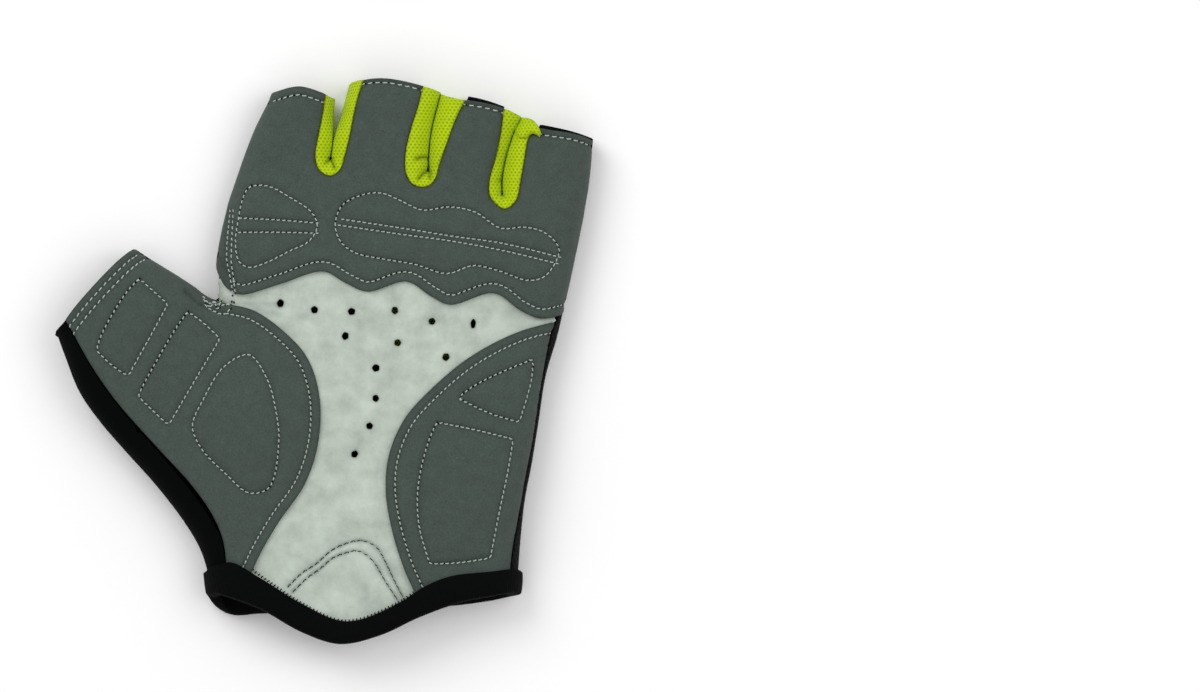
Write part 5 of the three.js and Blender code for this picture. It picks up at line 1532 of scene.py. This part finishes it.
stitchSizes = {  # metres, and the tilt of each stitch in radians
    "seam": {"Pitch": 0.00166, "Stitch Length": 0.00112, "Thread Radius": 0.00019, "Rise": 0.00014,
             "Sink": 0.00016, "Hole Size": 0.00034, "Unevenness": 0.14, "Tilt": 0.16},
    "mouth": {"Pitch": 0.00205, "Stitch Length": 0.0014, "Thread Radius": 0.0002, "Rise": 0.00014,
              "Sink": 0.00016, "Hole Size": 0.00034, "Unevenness": 0.12, "Tilt": 0.12},
    "wrist": {"Pitch": 0.0021, "Stitch Length": 0.0016, "Thread Radius": 0.00015, "Rise": 0.00006,
              "Sink": 0.00014, "Hole Size": 0.0002, "Unevenness": 0.12, "Tilt": 0.3},
    "edge": {"Pitch": 0.00115, "Stitch Length": 0.0007, "Thread Radius": 0.0002, "Rise": 0.0001,
             "Sink": 0.00012, "Hole Size": 0.0001, "Unevenness": 0.3, "Tilt": 1.3},
}


# Stitches along lines of the flat sheet, lifted onto the skin that they are sewn into.
def sewn(name, lines, depth, half, sizes, thread, seed):
    vertices, normals, links = [], [], []
    for line in lines:
        line = resampled(line, 0.3)
        skin = carried(line, half, depth(line, half))
        step = 0.25
        across = carried(line + (step, 0), half, depth(line + (step, 0), half)) - skin
        along = carried(line + (0, step), half, depth(line + (0, step), half)) - skin
        normal = unit(np.cross(across, along))
        if half == "back":
            normal = -normal
        first = len(vertices)
        vertices += toFrame(skin).tolist()
        normals += normal.tolist()
        links += [(first + i, first + i + 1) for i in range(len(line) - 1)]
    mesh = bpy.data.meshes.new(name + "_path")
    mesh.from_pydata(vertices, links, [])
    mesh.attributes.new("up", "FLOAT_VECTOR", "POINT").data.foreach_set("vector", np.ravel(normals))
    source = bpy.data.objects.new(name + "_path", mesh)
    bpy.context.scene.collection.objects.link(source)
    values = dict(stitchSizes[sizes], Seed=seed, Thread=materials[thread])
    # the dark discs between the stitches are painted shade of the needle holes
    values["Needle Hole Shade"] = materials["needle_hole_shade"]
    return grown(name, source, stitchRow, values)


def rightOf(share):
    return lambda points: points[:, 0] > share * glove["palmWidth"]


def runsOf(lines, *tests):
    return [run for line in lines for run in trimmed(line, *tests)]


fingerRuns = trimmed(fingerStitch, onFinger, insideBy(0.6), rightOf(-0.466))
fingerRuns += runsOf([padLoops["index"], padLoops["knuckles"], *quilt.values(), *sideStitches], onFinger)
thumbPads = [padLoops[name] for name in ("thumbTip", "thumbRoot", "thenar")]
thumbRuns = trimmed(thumbStitch, onThumb, insideBy(0.4), rightOf(-0.486))
thumbRuns += runsOf(thumbPads + tackStitches, onThumb)
heelRuns = trimmed(heelStitch, onHeel, insideBy(0.4))
heelRuns += runsOf([padLoops["heelUpper"], padLoops["heelLower"]], onHeel)
bindingTop = smoothLine(bindingTopEdge)
bareLeather = both(outOf(fingerEdge, (1.5, 0.75), (1.5, 3), (-0.55, 3)),
                   outOf(thumbEdge, (-1.5, -0.5), (-1.5, 1.3), (-0.85, 1.3)),
                   outOf(heelEdge, (1.5, -0.5), (1.5, 0.7)))


def aboveBinding(points):
    return points[:, 1] > 1.4 * glove["bindingWidth"]


# Columns: piece, its lines, the skin's depth, half, size of the stitches, thread and seed
rowsToSew = {
    "finger_panel": ("finger_panel_stitches", fingerRuns, fingerDepth, "palm", "seam", "pale_thread", 3),
    "finger_mouths": ("finger_mouth_stitches", trimmed(mouthStitch, onFinger, insideBy(1.2)), fingerDepth,
                      "palm", "mouth", "pale_thread", 5),
    "thumb_panel": ("thumb_panel_stitches", thumbRuns, thumbDepth, "palm", "seam", "pale_thread", 7),
    "thumb_mouth": ("thumb_mouth_stitches",
                    runsOf([thumbMouthOuter, thumbMouthInner], onThumb, insideBy(0.8)),
                    thumbDepth, "palm", "mouth", "pale_thread", 9),
    "heel_panel": ("heel_panel_stitches", heelRuns, heelDepth, "palm", "seam", "pale_thread", 11),
    "palm_base": ("wrist_stitches", runsOf(wristStitches, onBase), baseDepth, "palm", "wrist",
                  "dark_thread", 13),
    "crotch": ("crotch_stitches", runsOf(crossStitches, onBase), baseDepth, "palm", "seam",
               "pale_thread", 15),
    "binding": ("binding_edge_stitches", trimmed(shifted(bindingTop, -0.12), onBase, bareLeather), baseDepth,
                "palm", "edge", "black_thread", 17),
    "back_panel": ("back_panel_stitches", runsOf(backFolds, onBack, insideBy(1.5), aboveBinding), backDepth,
                   "back", "seam", "black_thread", 19),
}
sewnRows = {key: sewn(*row) for key, row in rowsToSew.items()}
print("stitches sewn")


def finished(piece, material, slotName, *nodes):
    if material is not None:
        piece.data.materials.clear()
        piece.data.materials.append(materials[material])
    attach(piece, "root")
    if nodes:
        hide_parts(*nodes)


finished(fingerPanel, "grey_suede", "grey_suede", "finger_panel")
finished(thumbPanel, "grey_suede", "grey_suede", "thumb_panel")
finished(heelPanel, "grey_suede", "grey_suede", "heel_panel")
finished(palmBase, "palm_leather", "palm_leather", "palm_base")
for piece, node in zip(gussetPieces, ("gusset_index_middle", "gusset_middle_ring", "gusset_ring_little")):
    finished(piece, "neon_knit", "neon_knit", node)
finished(backPanel, "black_mesh", "black_mesh", "back_panel")
finished(thumbBack, "black_fabric", "black_fabric", "thumb_back")
finished(backInsert, "neon_knit", "neon_knit", "back_insert")
finished(cuffBinding, "black_binding", "black_binding", "cuff_binding")
finished(gussetFlap, "neon_knit", "neon_knit")
stitchSlots = {"palm_base": "palm_leather", "crotch": "palm_leather", "binding": "black_binding",
               "back_panel": "black_mesh"}
for key, piece in sewnRows.items():
    finished(piece, None, stitchSlots.get(key, "grey_suede"))


# Floor, light and the view straight down
studio = {"width": 0.36215, "aimAcross": 0.083, "aimAlong": 0.0045, "aimHeight": 0.012, "distance": 2.6,
          "skyStrength": 0.7, "lampPower": 8.6, "lampSize": 1.0, "sidePower": 4.6}
floorMesh = bpy.data.meshes.new("floor")
reach = 6.0
floorMesh.from_pydata([(-reach, -reach, 0), (reach, -reach, 0), (reach, reach, 0), (-reach, reach, 0)], [],
                      [(0, 1, 2, 3)])
floor = bpy.data.objects.new("floor", floorMesh)
bpy.context.scene.collection.objects.link(floor)
paper = bpy.data.materials.new("floor_paper")
paper.use_nodes = True
paper.node_tree.nodes["Principled BSDF"].inputs["Base Color"].default_value = (0.97, 0.97, 0.97, 1)
paper.node_tree.nodes["Principled BSDF"].inputs["Roughness"].default_value = 0.9
floorMesh.materials.append(paper)

world = bpy.data.worlds.new("studio")
bpy.context.scene.world = world
world.use_nodes = True
world.node_tree.nodes["Background"].inputs["Color"].default_value = (1.0, 1.0, 1.0, 1)
world.node_tree.nodes["Background"].inputs["Strength"].default_value = studio["skyStrength"]


def softLamp(name, spot, power, size):
    lamp = bpy.data.lights.new(name, "AREA")
    lamp.energy = power
    lamp.size = size
    lamp.shape = "DISK"
    holder = bpy.data.objects.new(name, lamp)
    holder.location = spot
    aim = Vector((studio["aimAcross"] - 0.09, studio["aimAlong"], 0)) - Vector(spot)
    holder.rotation_euler = aim.to_track_quat("-Z", "Y").to_euler()
    bpy.context.scene.collection.objects.link(holder)


softLamp("key", (-0.7, 0.85, 1.1), studio["lampPower"], studio["lampSize"])
softLamp("fill", (0.9, 0.3, 1.2), studio["sidePower"], studio["lampSize"])

camera = bpy.data.cameras.new("camera")
camera.sensor_width = 36
camera.lens = 36 * studio["distance"] / studio["width"]
camera.clip_start = 0.05
holder = bpy.data.objects.new("camera", camera)
holder.location = (studio["aimAcross"], studio["aimAlong"], studio["aimHeight"] + studio["distance"])
bpy.context.scene.collection.objects.link(holder)
bpy.context.scene.camera = holder
bpy.context.scene.view_settings.view_transform = "Standard"
print("studio ready")
